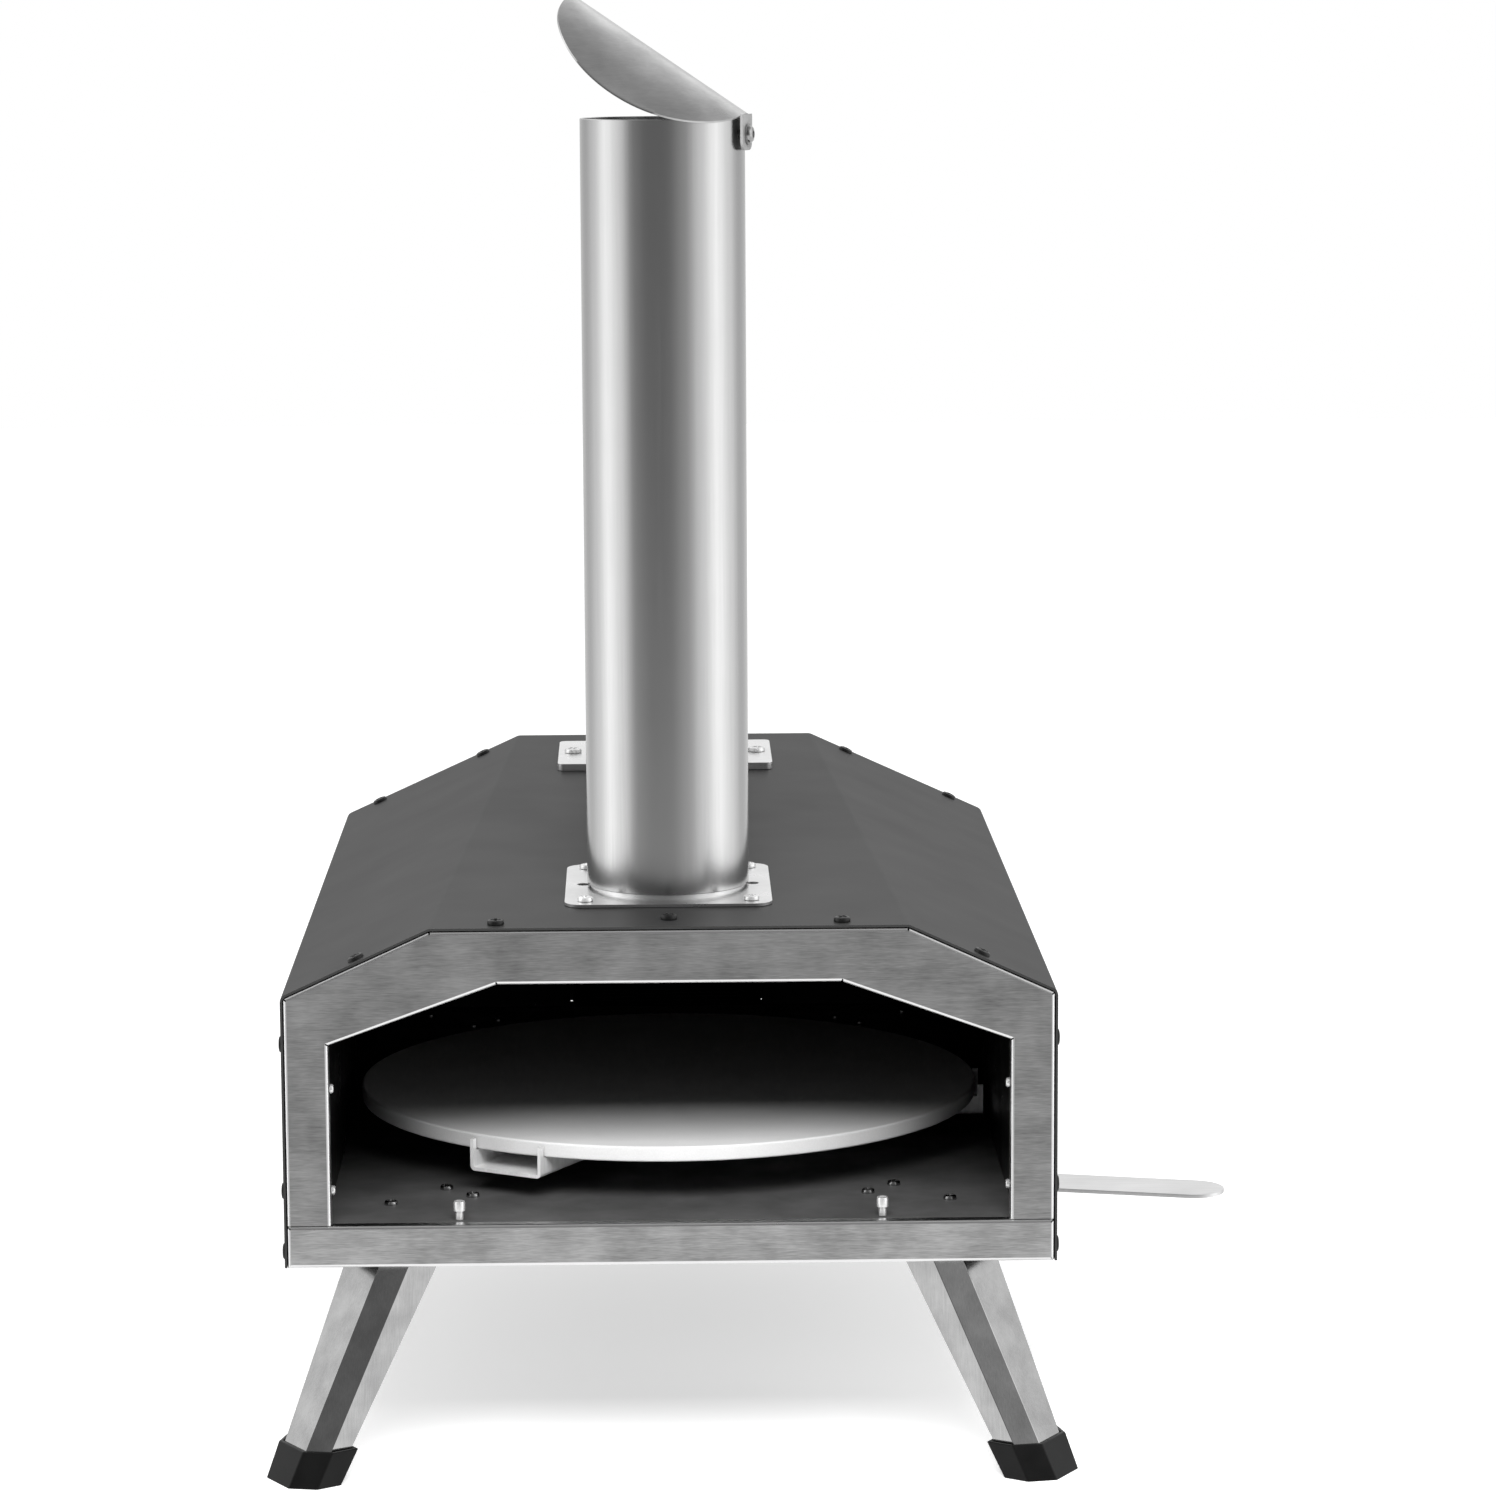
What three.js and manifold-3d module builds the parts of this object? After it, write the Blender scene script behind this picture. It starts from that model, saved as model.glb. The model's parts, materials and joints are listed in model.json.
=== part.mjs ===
// Portable wood fired pizza oven with a turning stone, a chimney, a fuel hopper and folding legs.
// Millimetres, +Z up, -Y is the mouth of the oven, +X is the side of the turning lever.
// Everything is laid out in the oven's own frame: X = 0 is the middle plane, Y = 0 the front
// face and Z = 0 the ground. The last lines move the origin under the middle of the whole part.
import * as THREE from "three";
import { mergeVertices } from "three/addons/utils/BufferGeometryUtils.js";
import Module from "manifold-3d";

const wasm = await Module();
wasm.setup();

// ---------------------------------------------------------------- driving dimensions
const GAP = 0.3; // clearance between touching pieces
const SHEET = 1.2; // sheet metal thickness

const BODY_WIDTH = 386;
const BODY_DEPTH = 551;
const UNDERSIDE_Z = 111.6;
const FLOOR_Z = 132.9; // top of the oven floor
const ROOF_RISE = 14; // how much the roof climbs from front to back
const OUTER_ARCH = { halfWidth: BODY_WIDTH / 2, shoulderZ: 249.5, roofZ: 283.2, slope: 0.4557 };
const MOUTH_ARCH = { halfWidth: 169.5, shoulderZ: 224.7, roofZ: 254.8, slope: 0.3588 };
const FRAME_RETURN = 12; // depth of the front frame's folded edges
const MOUTH_RETURN = 9;
const RAIL_DEPTH = 6;
const DOOR_STOP_Y = 11;
const LINER_OUTSET = 3; // the liner stands this far outside the mouth
const LINER_BACK_Y = 532;
const BACK_PANEL_Y = 548;

const CHIMNEY_Y = 97;
const CHIMNEY_RADIUS = 41.5;
const CHIMNEY_WALL = 1;
const CHIMNEY_TOP_Z = 678;
const FLUE_SLEEVE_RADIUS = 39.7;
const CHIMNEY_PLATE = { width: 105, depth: 102, thickness: 1.5, corner: 9 };
const PLATE_SCREW_X = 42;
const PLATE_SCREW_Y = 41;
const PLATE_NOTCH = { x: 43.5, radius: 3.2 }; // beside the tube

const CAP_AZIMUTH = THREE.MathUtils.degToRad(-17); // where the cap's tab stands round the tube
const CAP_TILT = THREE.MathUtils.degToRad(33);
const CAP_LENGTH = 108;
const CAP_HALF_WIDTH = 51; // measured round the rolled sheet
const CAP_ROLL_RADIUS = 58;
const CAP_OUTLINE_POWER = 0.77;
const CAP_TAB = { radius: 43.8, width: 17.7, height: 17.5, corner: 5 };
const CAP_BEND_Z = CHIMNEY_TOP_Z + 1.6;
const CAP_SCREW_DROP = 8.1; // below the chimney's rim

const HOPPER_Y = 467;
const HOPPER_PLATE = { width: 125, depth: 77, height: 4, corner: 4 };
const HOPPER = { width: 76, depth: 56, bottomZ: 205, topZ: 425 };
const LID_HINGE = { y: HOPPER_Y + HOPPER.depth / 2 + 3.8, z: 419 };

const STONE = { radius: 165, thickness: 8, bottomZ: 154.7, y: 204 };
const ARM = { width: 42, height: 10, sheet: 1.8, reach: 168.5, prongStart: 165.4, prongRise: 6.3 };
const LEVER = { reach: 301, width: 32.5, thickness: 2, z: 112.7 };
const LEVER_ANGLE = THREE.MathUtils.degToRad(-13.8);
const LEVER_SLOT = { frontY: 70, backY: 340, topZ: 118 };

const TRAY = { halfWidth: 55, frontY: 402, backY: BODY_DEPTH + 0.2, topZ: 160 };
const TRAY_OPENING = { halfWidth: 58.5, topZ: 172 };

const LEG_LEAN = THREE.MathUtils.degToRad(24.4);
const LEG_PLAN_ANGLE = THREE.MathUtils.degToRad(32.7); // lean direction, from the side towards the end
const LEG_PIN = { x: 138.3, y: 41, z: 117 };
const LEG_TOP = { web: 16.8, chamfer: 10.2, depth: 26 }; // half web, chamfer leg, whole depth at the pin
const LEG_FOOT = { web: 10.2, chamfer: 8.6, depth: 17.6 }; // the same at the ground
const LEG_WEB_OFFSET = 15; // outer face of the web, out from the pin
const LEG_SHEET = 1.5;
const LEG_EYE_RADIUS = 10;
const FOOT_HEIGHT = 18;
const FOOT_WALL = 2.8;
const LEG_CUT_Z = 4.5; // the sheet ends this high, inside the foot

// ---------------------------------------------------------------- solids and booleans
function solid(geometry) {
  const bare = geometry.index ? geometry.toNonIndexed() : geometry.clone();
  bare.deleteAttribute("normal");
  bare.deleteAttribute("uv");
  const merged = mergeVertices(bare, 1e-4);
  return new wasm.Manifold(
    new wasm.Mesh({
      numProp: 3,
      vertProperties: merged.attributes.position.array,
      triVerts: new Uint32Array(merged.index.array),
    }),
  );
}

function geometryOf(manifold) {
  const mesh = manifold.getMesh();
  const geometry = new THREE.BufferGeometry();
  geometry.setAttribute("position", new THREE.BufferAttribute(mesh.vertProperties, 3));
  geometry.setIndex(new THREE.BufferAttribute(mesh.triVerts, 1));
  const faceted = geometry.toNonIndexed();
  faceted.computeVertexNormals();
  return faceted;
}

const join = (...geometries) => geometryOf(geometries.map(solid).reduce((a, b) => a.add(b)));

const cut = (geometry, ...tools) =>
  geometryOf(tools.map(solid).reduce((a, b) => a.subtract(b), solid(geometry)));

const common = (a, b) => geometryOf(solid(a).intersect(solid(b)));

function box(x0, x1, y0, y1, z0, z1) {
  const geometry = new THREE.BoxGeometry(x1 - x0, y1 - y0, z1 - z0);
  return geometry.translate((x0 + x1) / 2, (y0 + y1) / 2, (z0 + z1) / 2);
}

function upright(radius, z0, z1, x = 0, y = 0, segments = 40) {
  const geometry = new THREE.CylinderGeometry(radius, radius, z1 - z0, segments);
  return geometry.rotateX(Math.PI / 2).translate(x, y, (z0 + z1) / 2);
}

// A cylinder along Y, from y0 to y1.
const alongY = (radius, y0, y1, segments = 16) =>
  new THREE.CylinderGeometry(radius, radius, y1 - y0, segments).translate(0, (y0 + y1) / 2, 0);

// A cylinder along X, from x0 to x1, with its axis at y, z.
const alongX = (radius, x0, x1, y, z, segments = 16) =>
  new THREE.CylinderGeometry(radius, radius, x1 - x0, segments)
    .rotateZ(Math.PI / 2)
    .translate((x0 + x1) / 2, y, z);

// A solid between two outlines of the same number of points, each on a flat face.
function loft(start, end, flatten) {
  const faces = [];
  const count = start.length;
  for (let i = 0; i < count; i++) {
    const j = (i + 1) % count;
    faces.push(start[i], start[j], end[j], start[i], end[j], end[i]);
  }
  const flat = start.map(flatten);
  const turn = (points) => Math.sign(THREE.ShapeUtils.area(points));
  for (const cap of THREE.ShapeUtils.triangulateShape(flat, [])) {
    const sameTurn = turn(cap.map((i) => flat[i])) === turn(flat);
    const [a, b, c] = sameTurn ? cap : [...cap].reverse();
    faces.push(start[c], start[b], start[a], end[a], end[b], end[c]);
  }
  let volume = 0;
  for (let i = 0; i < faces.length; i += 3) {
    volume += faces[i].dot(new THREE.Vector3().crossVectors(faces[i + 1], faces[i + 2]));
  }
  if (volume < 0) faces.reverse();
  return new THREE.BufferGeometry().setFromPoints(faces);
}

function roundedRectangle(width, depth, corner) {
  const w = width / 2 - corner;
  const d = depth / 2 - corner;
  const shape = new THREE.Shape();
  shape.absarc(w, d, corner, 0, Math.PI / 2);
  shape.absarc(-w, d, corner, Math.PI / 2, Math.PI);
  shape.absarc(-w, -d, corner, Math.PI, 1.5 * Math.PI);
  shape.absarc(w, -d, corner, 1.5 * Math.PI, 2 * Math.PI);
  return shape;
}

const extrude = (shape, depth, curveSegments = 6) =>
  new THREE.ExtrudeGeometry(shape, { depth, bevelEnabled: false, curveSegments });

// ---------------------------------------------------------------- arches of the body
// The house-shaped outline of the body at depth y, inset by a wall's thickness.
function archOutline(arch, inset, y, bottomZ) {
  const fold = inset * Math.hypot(1, arch.slope);
  const sideX = arch.halfWidth - inset;
  const shoulderZ = arch.shoulderZ + arch.slope * inset - fold;
  const roofZ = arch.roofZ + (ROOF_RISE * y) / BODY_DEPTH - inset;
  const topX = arch.halfWidth - (roofZ - arch.shoulderZ + fold) / arch.slope;
  return [
    [-sideX, bottomZ],
    [-sideX, shoulderZ],
    [-topX, roofZ],
    [topX, roofZ],
    [sideX, shoulderZ],
    [sideX, bottomZ],
  ].map(([x, z]) => new THREE.Vector3(x, y, z));
}

const archSolid = (arch, inset, y0, y1, bottomZ) =>
  loft(archOutline(arch, inset, y0, bottomZ), archOutline(arch, inset, y1, bottomZ), (p) =>
    new THREE.Vector2(p.x, p.z),
  );

const roofZAt = (y) => OUTER_ARCH.roofZ + (ROOF_RISE * y) / BODY_DEPTH;
const chamferZAt = (x) => OUTER_ARCH.shoulderZ + OUTER_ARCH.slope * (OUTER_ARCH.halfWidth - Math.abs(x));
const ROOF_TILT = Math.atan(ROOF_RISE / BODY_DEPTH);
const CHAMFER_ANGLE = Math.atan(OUTER_ARCH.slope);

const throat = (margin) =>
  box(
    -HOPPER.width / 2 - margin,
    HOPPER.width / 2 + margin,
    HOPPER_Y - HOPPER.depth / 2 - margin,
    HOPPER_Y + HOPPER.depth / 2 + margin,
    180,
    320,
  );

const flue = (radius) => upright(radius, 220, 320, 0, CHIMNEY_Y);

// ---------------------------------------------------------------- materials
const finish = (color, roughness, metalness) =>
  new THREE.MeshStandardMaterial({ color, roughness, metalness });
const brushedSteel = finish(0xa9a9a9, 0.35, 0.95);
const polishedSteel = finish(0xc4c4c4, 0.2, 1);
const blackPaint = finish(0x2c2c2c, 0.55, 0.1);
const linerSteel = finish(0x101010, 0.35, 0.5);
const blanketWool = finish(0xd8d4cb, 1, 0);
const stoneFinish = finish(0xb9b7b2, 0.9, 0);
const blackPlastic = finish(0x111111, 0.5, 0);
const plainSteel = finish(0x8d8d8d, 0.4, 0.9);

const oven = new THREE.Group();

function add(name, geometry, material, parent = oven) {
  const mesh = new THREE.Mesh(geometry, material);
  mesh.name = name;
  parent.add(mesh);
  return mesh;
}

// ---------------------------------------------------------------- screws
// A domed screw head that sits on z = 0 and points up.
function panHead(radius, height, segments = 18) {
  const profile = [
    new THREE.Vector2(0, 0),
    new THREE.Vector2(radius, 0),
    new THREE.Vector2(radius, height * 0.35),
    new THREE.Vector2(radius * 0.75, height * 0.82),
    new THREE.Vector2(0, height),
  ];
  return new THREE.LatheGeometry(profile, segments).rotateX(Math.PI / 2);
}

function addScrew(name, radius, height, position, normal, material) {
  const mesh = add(name, panHead(radius, height), material);
  const up = normal.clone().normalize();
  mesh.position.copy(position).addScaledVector(up, GAP);
  mesh.quaternion.setFromUnitVectors(new THREE.Vector3(0, 0, 1), up);
}

const roofNormal = new THREE.Vector3(0, -Math.sin(ROOF_TILT), Math.cos(ROOF_TILT));
const chamferNormal = (side) =>
  new THREE.Vector3(side * Math.sin(CHAMFER_ANGLE), 0, Math.cos(CHAMFER_ANGLE));

// ---------------------------------------------------------------- oven body
function buildFrontFrame() {
  const bottomZ = FLOOR_Z + GAP;
  const inset = SHEET + GAP;
  const below = bottomZ - 10;
  const face = archSolid(OUTER_ARCH, inset, 0, SHEET, bottomZ);
  const rim = cut(
    archSolid(OUTER_ARCH, inset, 0, FRAME_RETURN, bottomZ),
    archSolid(OUTER_ARCH, inset + SHEET, -1, FRAME_RETURN + 1, below),
  );
  const lip = archSolid(MOUTH_ARCH, -SHEET, 0, MOUTH_RETURN, bottomZ);
  const mouth = archSolid(MOUTH_ARCH, 0, -1, FRAME_RETURN + 1, below);
  add("front_frame", cut(join(face, rim, lip), mouth), brushedSteel);
}

function buildFrontRail() {
  const halfWidth = BODY_WIDTH / 2 - SHEET - GAP;
  const outer = box(-halfWidth, halfWidth, 0, RAIL_DEPTH, UNDERSIDE_Z, FLOOR_Z);
  const hollow = box(-halfWidth + SHEET, halfWidth - SHEET, SHEET, 20, UNDERSIDE_Z + SHEET, FLOOR_Z - SHEET);
  add("front_rail", cut(outer, hollow), brushedSteel);
}

const leverSlot = (x0, x1) => box(x0, x1, LEVER_SLOT.frontY, LEVER_SLOT.backY, UNDERSIDE_Z - 5, LEVER_SLOT.topZ);

function buildOuterShell() {
  const frontY = 0.6;
  const shell = cut(
    archSolid(OUTER_ARCH, 0, frontY, BODY_DEPTH, UNDERSIDE_Z),
    archSolid(OUTER_ARCH, SHEET, -1, BODY_DEPTH + 1, UNDERSIDE_Z - 5),
    flue(FLUE_SLEEVE_RADIUS + 1.3),
    throat(1.5),
    leverSlot(150, 200),
  );
  add("outer_shell", shell, blackPaint);
}

function buildFloorPan() {
  const halfWidth = BODY_WIDTH / 2 - SHEET - GAP;
  const frontY = RAIL_DEPTH + GAP;
  const backY = BACK_PANEL_Y - GAP;
  const bottomZ = UNDERSIDE_Z + GAP;
  const pan = cut(
    box(-halfWidth, halfWidth, frontY, backY, bottomZ, FLOOR_Z),
    box(-halfWidth + SHEET, halfWidth - SHEET, frontY + SHEET, backY - SHEET, bottomZ - 1, FLOOR_Z - SHEET),
    leverSlot(150, 200),
    upright(9.4, FLOOR_Z - 5, FLOOR_Z + 5, 0, STONE.y, 32),
  );
  add("floor_pan", pan, linerSteel);
}

function buildInnerLiner() {
  const bottomZ = FLOOR_Z + GAP;
  const liner = cut(
    archSolid(MOUTH_ARCH, -LINER_OUTSET - 1, 2, LINER_BACK_Y, bottomZ),
    archSolid(MOUTH_ARCH, -LINER_OUTSET, 1, LINER_BACK_Y - SHEET, bottomZ - 5),
    flue(FLUE_SLEEVE_RADIUS + 1),
    throat(1),
    box(-TRAY_OPENING.halfWidth, TRAY_OPENING.halfWidth, 520, 540, 100, TRAY_OPENING.topZ),
  );
  add("inner_liner", liner, linerSteel);
}

function buildInsulation() {
  const bottomZ = FLOOR_Z + 1;
  const blanket = cut(
    archSolid(OUTER_ARCH, SHEET + 0.5, FRAME_RETURN + 1, LINER_BACK_Y - 2, bottomZ),
    archSolid(MOUTH_ARCH, -LINER_OUTSET - 1.5, 0, BODY_DEPTH, bottomZ - 5),
    flue(FLUE_SLEEVE_RADIUS + 3),
    throat(3),
  );
  add("insulation_blanket", blanket, blanketWool);
}

function buildBackPanel() {
  const panel = cut(
    archSolid(OUTER_ARCH, SHEET + GAP, BACK_PANEL_Y, BACK_PANEL_Y + SHEET, UNDERSIDE_Z + GAP),
    box(-TRAY_OPENING.halfWidth, TRAY_OPENING.halfWidth, 540, 560, FLOOR_Z, TRAY_OPENING.topZ),
  );
  add("back_panel", panel, blackPaint);
}

function buildShellScrews() {
  const radius = 4.2;
  const height = 2.4;
  const edgeY = 10;
  for (const [name, x, y] of [
    ["roof_screw_left", -86, edgeY],
    ["roof_screw_right", 86, edgeY],
    ["roof_screw_middle", 0, 19],
  ]) {
    addScrew(name, radius, height, new THREE.Vector3(x, y, roofZAt(y)), roofNormal, blackPaint);
  }
  for (const [name, side] of [
    ["chamfer_screw_left", -1],
    ["chamfer_screw_right", 1],
  ]) {
    const x = 155.6;
    const position = new THREE.Vector3(side * x, edgeY, chamferZAt(x));
    addScrew(name, radius, height, position, chamferNormal(side), blackPaint);
  }
}

function buildDoorStops() {
  const profile = [
    [0, 0],
    [2, 0],
    [2, 4.4],
    [3, 4.4],
    [3, 9],
    [2.6, 9.6],
    [0, 9.6],
  ].map(([r, z]) => new THREE.Vector2(r, z));
  for (const [name, x] of [
    ["door_stop_left", -106],
    ["door_stop_right", 106],
  ]) {
    const stop = add(name, new THREE.LatheGeometry(profile, 16).rotateX(Math.PI / 2), plainSteel);
    stop.position.set(x, DOOR_STOP_Y, FLOOR_Z + GAP);
  }
}

// ---------------------------------------------------------------- chimney
function buildChimney() {
  const plate = extrude(
    roundedRectangle(CHIMNEY_PLATE.width, CHIMNEY_PLATE.depth, CHIMNEY_PLATE.corner),
    CHIMNEY_PLATE.thickness,
  )
    .rotateX(ROOF_TILT)
    .translate(0, CHIMNEY_Y, roofZAt(CHIMNEY_Y) + GAP);
  const sleeve = upright(FLUE_SLEEVE_RADIUS, 262, 312, 0, CHIMNEY_Y);
  const flue = upright(FLUE_SLEEVE_RADIUS - SHEET, 250, 330, 0, CHIMNEY_Y);
  const notches = [-1, 1].map((side) =>
    upright(PLATE_NOTCH.radius, 275, 300, side * PLATE_NOTCH.x, CHIMNEY_Y, 16),
  );
  const flange = cut(join(plate, sleeve), flue, ...notches);
  add("chimney_flange", flange, polishedSteel);

  for (const [name, sideX, sideY] of [
    ["flange_screw_front_left", -1, -1],
    ["flange_screw_front_right", 1, -1],
    ["flange_screw_back_left", -1, 1],
    ["flange_screw_back_right", 1, 1],
  ]) {
    const y = CHIMNEY_Y + sideY * PLATE_SCREW_Y;
    const z = roofZAt(y) + GAP + CHIMNEY_PLATE.thickness;
    addScrew(name, 4, 2.2, new THREE.Vector3(sideX * PLATE_SCREW_X, y, z), roofNormal, plainSteel);
  }

  const plateTop = roofZAt(CHIMNEY_Y + CHIMNEY_RADIUS) + GAP + CHIMNEY_PLATE.thickness;
  const tube = cut(
    upright(CHIMNEY_RADIUS, plateTop + GAP, CHIMNEY_TOP_Z, 0, CHIMNEY_Y, 72),
    upright(CHIMNEY_RADIUS - CHIMNEY_WALL, plateTop - 5, CHIMNEY_TOP_Z + 5, 0, CHIMNEY_Y, 72),
    radialBar(3.2, 30, 50, 0),
  );
  add("chimney_tube", tube, brushedSteel);
}

// A bar that runs out from the chimney's axis at the cap's azimuth, at the height of its screw.
function radialBar(radius, from, to, lift, segments = 20) {
  return alongX(radius, from, to, 0, 0, segments)
    .rotateZ(CAP_AZIMUTH)
    .translate(0, CHIMNEY_Y, CHIMNEY_TOP_Z - CAP_SCREW_DROP + lift);
}

// The rolled cap: a leaf of sheet bent round its ridge, which climbs from the tab over the tube.
function rolledSheet() {
  const stations = 18;
  const steps = 10;
  const firstAngle = Math.asin((CAP_TAB.width / 2 / CAP_HALF_WIDTH) ** (1 / CAP_OUTLINE_POWER));
  const lastAngle = Math.PI - 0.06;
  const point = (station, step, side) => {
    const angle = firstAngle + ((lastAngle - firstAngle) * station) / stations;
    const along = (CAP_LENGTH / 2) * (1 - Math.cos(angle));
    const across = CAP_HALF_WIDTH * Math.sin(angle) ** CAP_OUTLINE_POWER * ((2 * step) / steps - 1);
    const bend = across / CAP_ROLL_RADIUS;
    const radius = CAP_ROLL_RADIUS + (side * SHEET) / 2;
    return new THREE.Vector3(-along, radius * Math.sin(bend), radius * Math.cos(bend) - CAP_ROLL_RADIUS);
  };
  const faces = [];
  const quad = (a, b, c, d) => faces.push(a, b, c, a, c, d);
  for (let i = 0; i < stations; i++) {
    for (let j = 0; j < steps; j++) {
      quad(point(i, j, 1), point(i, j + 1, 1), point(i + 1, j + 1, 1), point(i + 1, j, 1));
      quad(point(i, j, -1), point(i + 1, j, -1), point(i + 1, j + 1, -1), point(i, j + 1, -1));
    }
    quad(point(i, 0, 1), point(i + 1, 0, 1), point(i + 1, 0, -1), point(i, 0, -1));
    quad(point(i, steps, 1), point(i, steps, -1), point(i + 1, steps, -1), point(i + 1, steps, 1));
  }
  for (let j = 0; j < steps; j++) {
    quad(point(0, j, 1), point(0, j, -1), point(0, j + 1, -1), point(0, j + 1, 1));
    quad(point(stations, j, 1), point(stations, j + 1, 1), point(stations, j + 1, -1), point(stations, j, -1));
  }
  return new THREE.BufferGeometry().setFromPoints(faces);
}

function buildCap() {
  const leaf = rolledSheet()
    .rotateY(CAP_TILT)
    .translate(CAP_TAB.radius, 0, CAP_BEND_Z);
  const drop = CAP_TAB.height;
  const tabOutline = new THREE.Shape();
  const half = CAP_TAB.width / 2;
  tabOutline.moveTo(-half, 0);
  tabOutline.absarc(-half + CAP_TAB.corner, -drop + CAP_TAB.corner, CAP_TAB.corner, Math.PI, 1.5 * Math.PI);
  tabOutline.absarc(half - CAP_TAB.corner, -drop + CAP_TAB.corner, CAP_TAB.corner, -Math.PI / 2, 0);
  tabOutline.lineTo(half, 0);
  const acrossThenUp = new THREE.Matrix4().makeBasis(
    new THREE.Vector3(0, 1, 0),
    new THREE.Vector3(0, 0, 1),
    new THREE.Vector3(1, 0, 0),
  );
  const tab = extrude(tabOutline, SHEET)
    .applyMatrix4(acrossThenUp)
    .translate(CAP_TAB.radius - SHEET / 2, 0, CAP_BEND_Z);
  const cap = join(leaf, tab).rotateZ(CAP_AZIMUTH).translate(0, CHIMNEY_Y, 0);
  add("chimney_cap", cut(cap, radialBar(3.2, 40, 50, 0)), brushedSteel);

  const tabFace = CAP_TAB.radius + SHEET / 2;
  const shank = radialBar(2.5, 35.5, tabFace + GAP + 0.5, 0);
  const headProfile = [
    new THREE.Vector2(0, 0),
    new THREE.Vector2(5.3, 0),
    new THREE.Vector2(5.3, 1),
    new THREE.Vector2(4.2, 2.2),
    new THREE.Vector2(2.2, 2.9),
    new THREE.Vector2(0, 3.1),
  ];
  const head = new THREE.LatheGeometry(headProfile, 20)
    .rotateZ(-Math.PI / 2)
    .translate(tabFace + GAP, 0, 0)
    .rotateZ(CAP_AZIMUTH)
    .translate(0, CHIMNEY_Y, CHIMNEY_TOP_Z - CAP_SCREW_DROP);
  add("cap_screw", join(shank, head), plainSteel);

  const nut = cut(radialBar(4.4, 36, 39.2, 0, 6), radialBar(2.8, 30, 45, 0));
  add("cap_nut", nut, plainSteel);
}

// ---------------------------------------------------------------- fuel hopper
function buildHopper() {
  const plateZ = roofZAt(HOPPER_Y) + GAP;
  const outline = (inset) =>
    roundedRectangle(HOPPER_PLATE.width - 2 * inset, HOPPER_PLATE.depth - 2 * inset, HOPPER_PLATE.corner);
  const plate = cut(
    extrude(outline(0), HOPPER_PLATE.height),
    extrude(outline(SHEET), HOPPER_PLATE.height - SHEET + 1).translate(0, 0, -1),
  )
    .rotateX(ROOF_TILT)
    .translate(0, HOPPER_Y, plateZ);
  add("hopper_flange", cut(plate, throat(0.5)), polishedSteel);
  const screwZ = plateZ + HOPPER_PLATE.height;
  for (const [name, x] of [
    ["hopper_screw_left", -54],
    ["hopper_screw_right", 54],
  ]) {
    addScrew(name, 5, 2.4, new THREE.Vector3(x, HOPPER_Y, screwZ), roofNormal, plainSteel);
  }

  const w = HOPPER.width / 2;
  const frontY = HOPPER_Y - HOPPER.depth / 2;
  const backY = HOPPER_Y + HOPPER.depth / 2;
  const chute = cut(
    join(
      box(-w, w, frontY, backY, HOPPER.bottomZ, HOPPER.topZ),
      alongX(4, -30, 30, LID_HINGE.y, LID_HINGE.z),
    ),
    box(-w + SHEET, w - SHEET, frontY + SHEET, backY - SHEET, HOPPER.bottomZ - 5, HOPPER.topZ + 5),
    alongX(2.4, -35, 35, LID_HINGE.y, LID_HINGE.z),
  );
  add("hopper_body", chute, brushedSteel);

  const reach = w + 1; // inner face of the lid's rims
  const lidTop = HOPPER.topZ + GAP + SHEET;
  const rimZ = lidTop - 11;
  const frontRim = frontY - 1 - SHEET;
  const rearReach = LID_HINGE.y + 5;
  const rimBlock = join(
    box(-reach - SHEET, reach + SHEET, frontRim, backY + 1, rimZ, lidTop),
    box(-reach - SHEET, -reach, backY, rearReach, rimZ, lidTop - 2),
    box(reach, reach + SHEET, backY, rearReach, rimZ, lidTop - 2),
  );
  const lid = cut(
    rimBlock,
    box(-reach, reach, frontRim + SHEET, backY + 5, rimZ - 5, lidTop - SHEET),
    alongX(2.4, -60, 60, LID_HINGE.y, LID_HINGE.z),
  );
  add("hopper_lid", lid, brushedSteel);

  const pinEnd = reach + SHEET + 1;
  const pin = join(
    alongX(2, -pinEnd, pinEnd, LID_HINGE.y, LID_HINGE.z),
    alongX(3.5, -pinEnd - 1.5, -pinEnd, LID_HINGE.y, LID_HINGE.z),
    alongX(3.5, pinEnd, pinEnd + 1.5, LID_HINGE.y, LID_HINGE.z),
  );
  add("hopper_lid_pin", pin, plainSteel);

  const knobProfile = [
    [0, 0],
    [9, 0],
    [7, 3],
    [6.2, 8],
    [9.5, 11.5],
    [12, 16],
    [11.6, 20],
    [8.5, 23.6],
    [0, 25],
  ].map(([r, z]) => new THREE.Vector2(r, z));
  const knob = add("hopper_lid_knob", new THREE.LatheGeometry(knobProfile, 20).rotateX(Math.PI / 2), blackPlastic);
  knob.position.set(0, HOPPER_Y - 8, lidTop + GAP);
}

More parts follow.
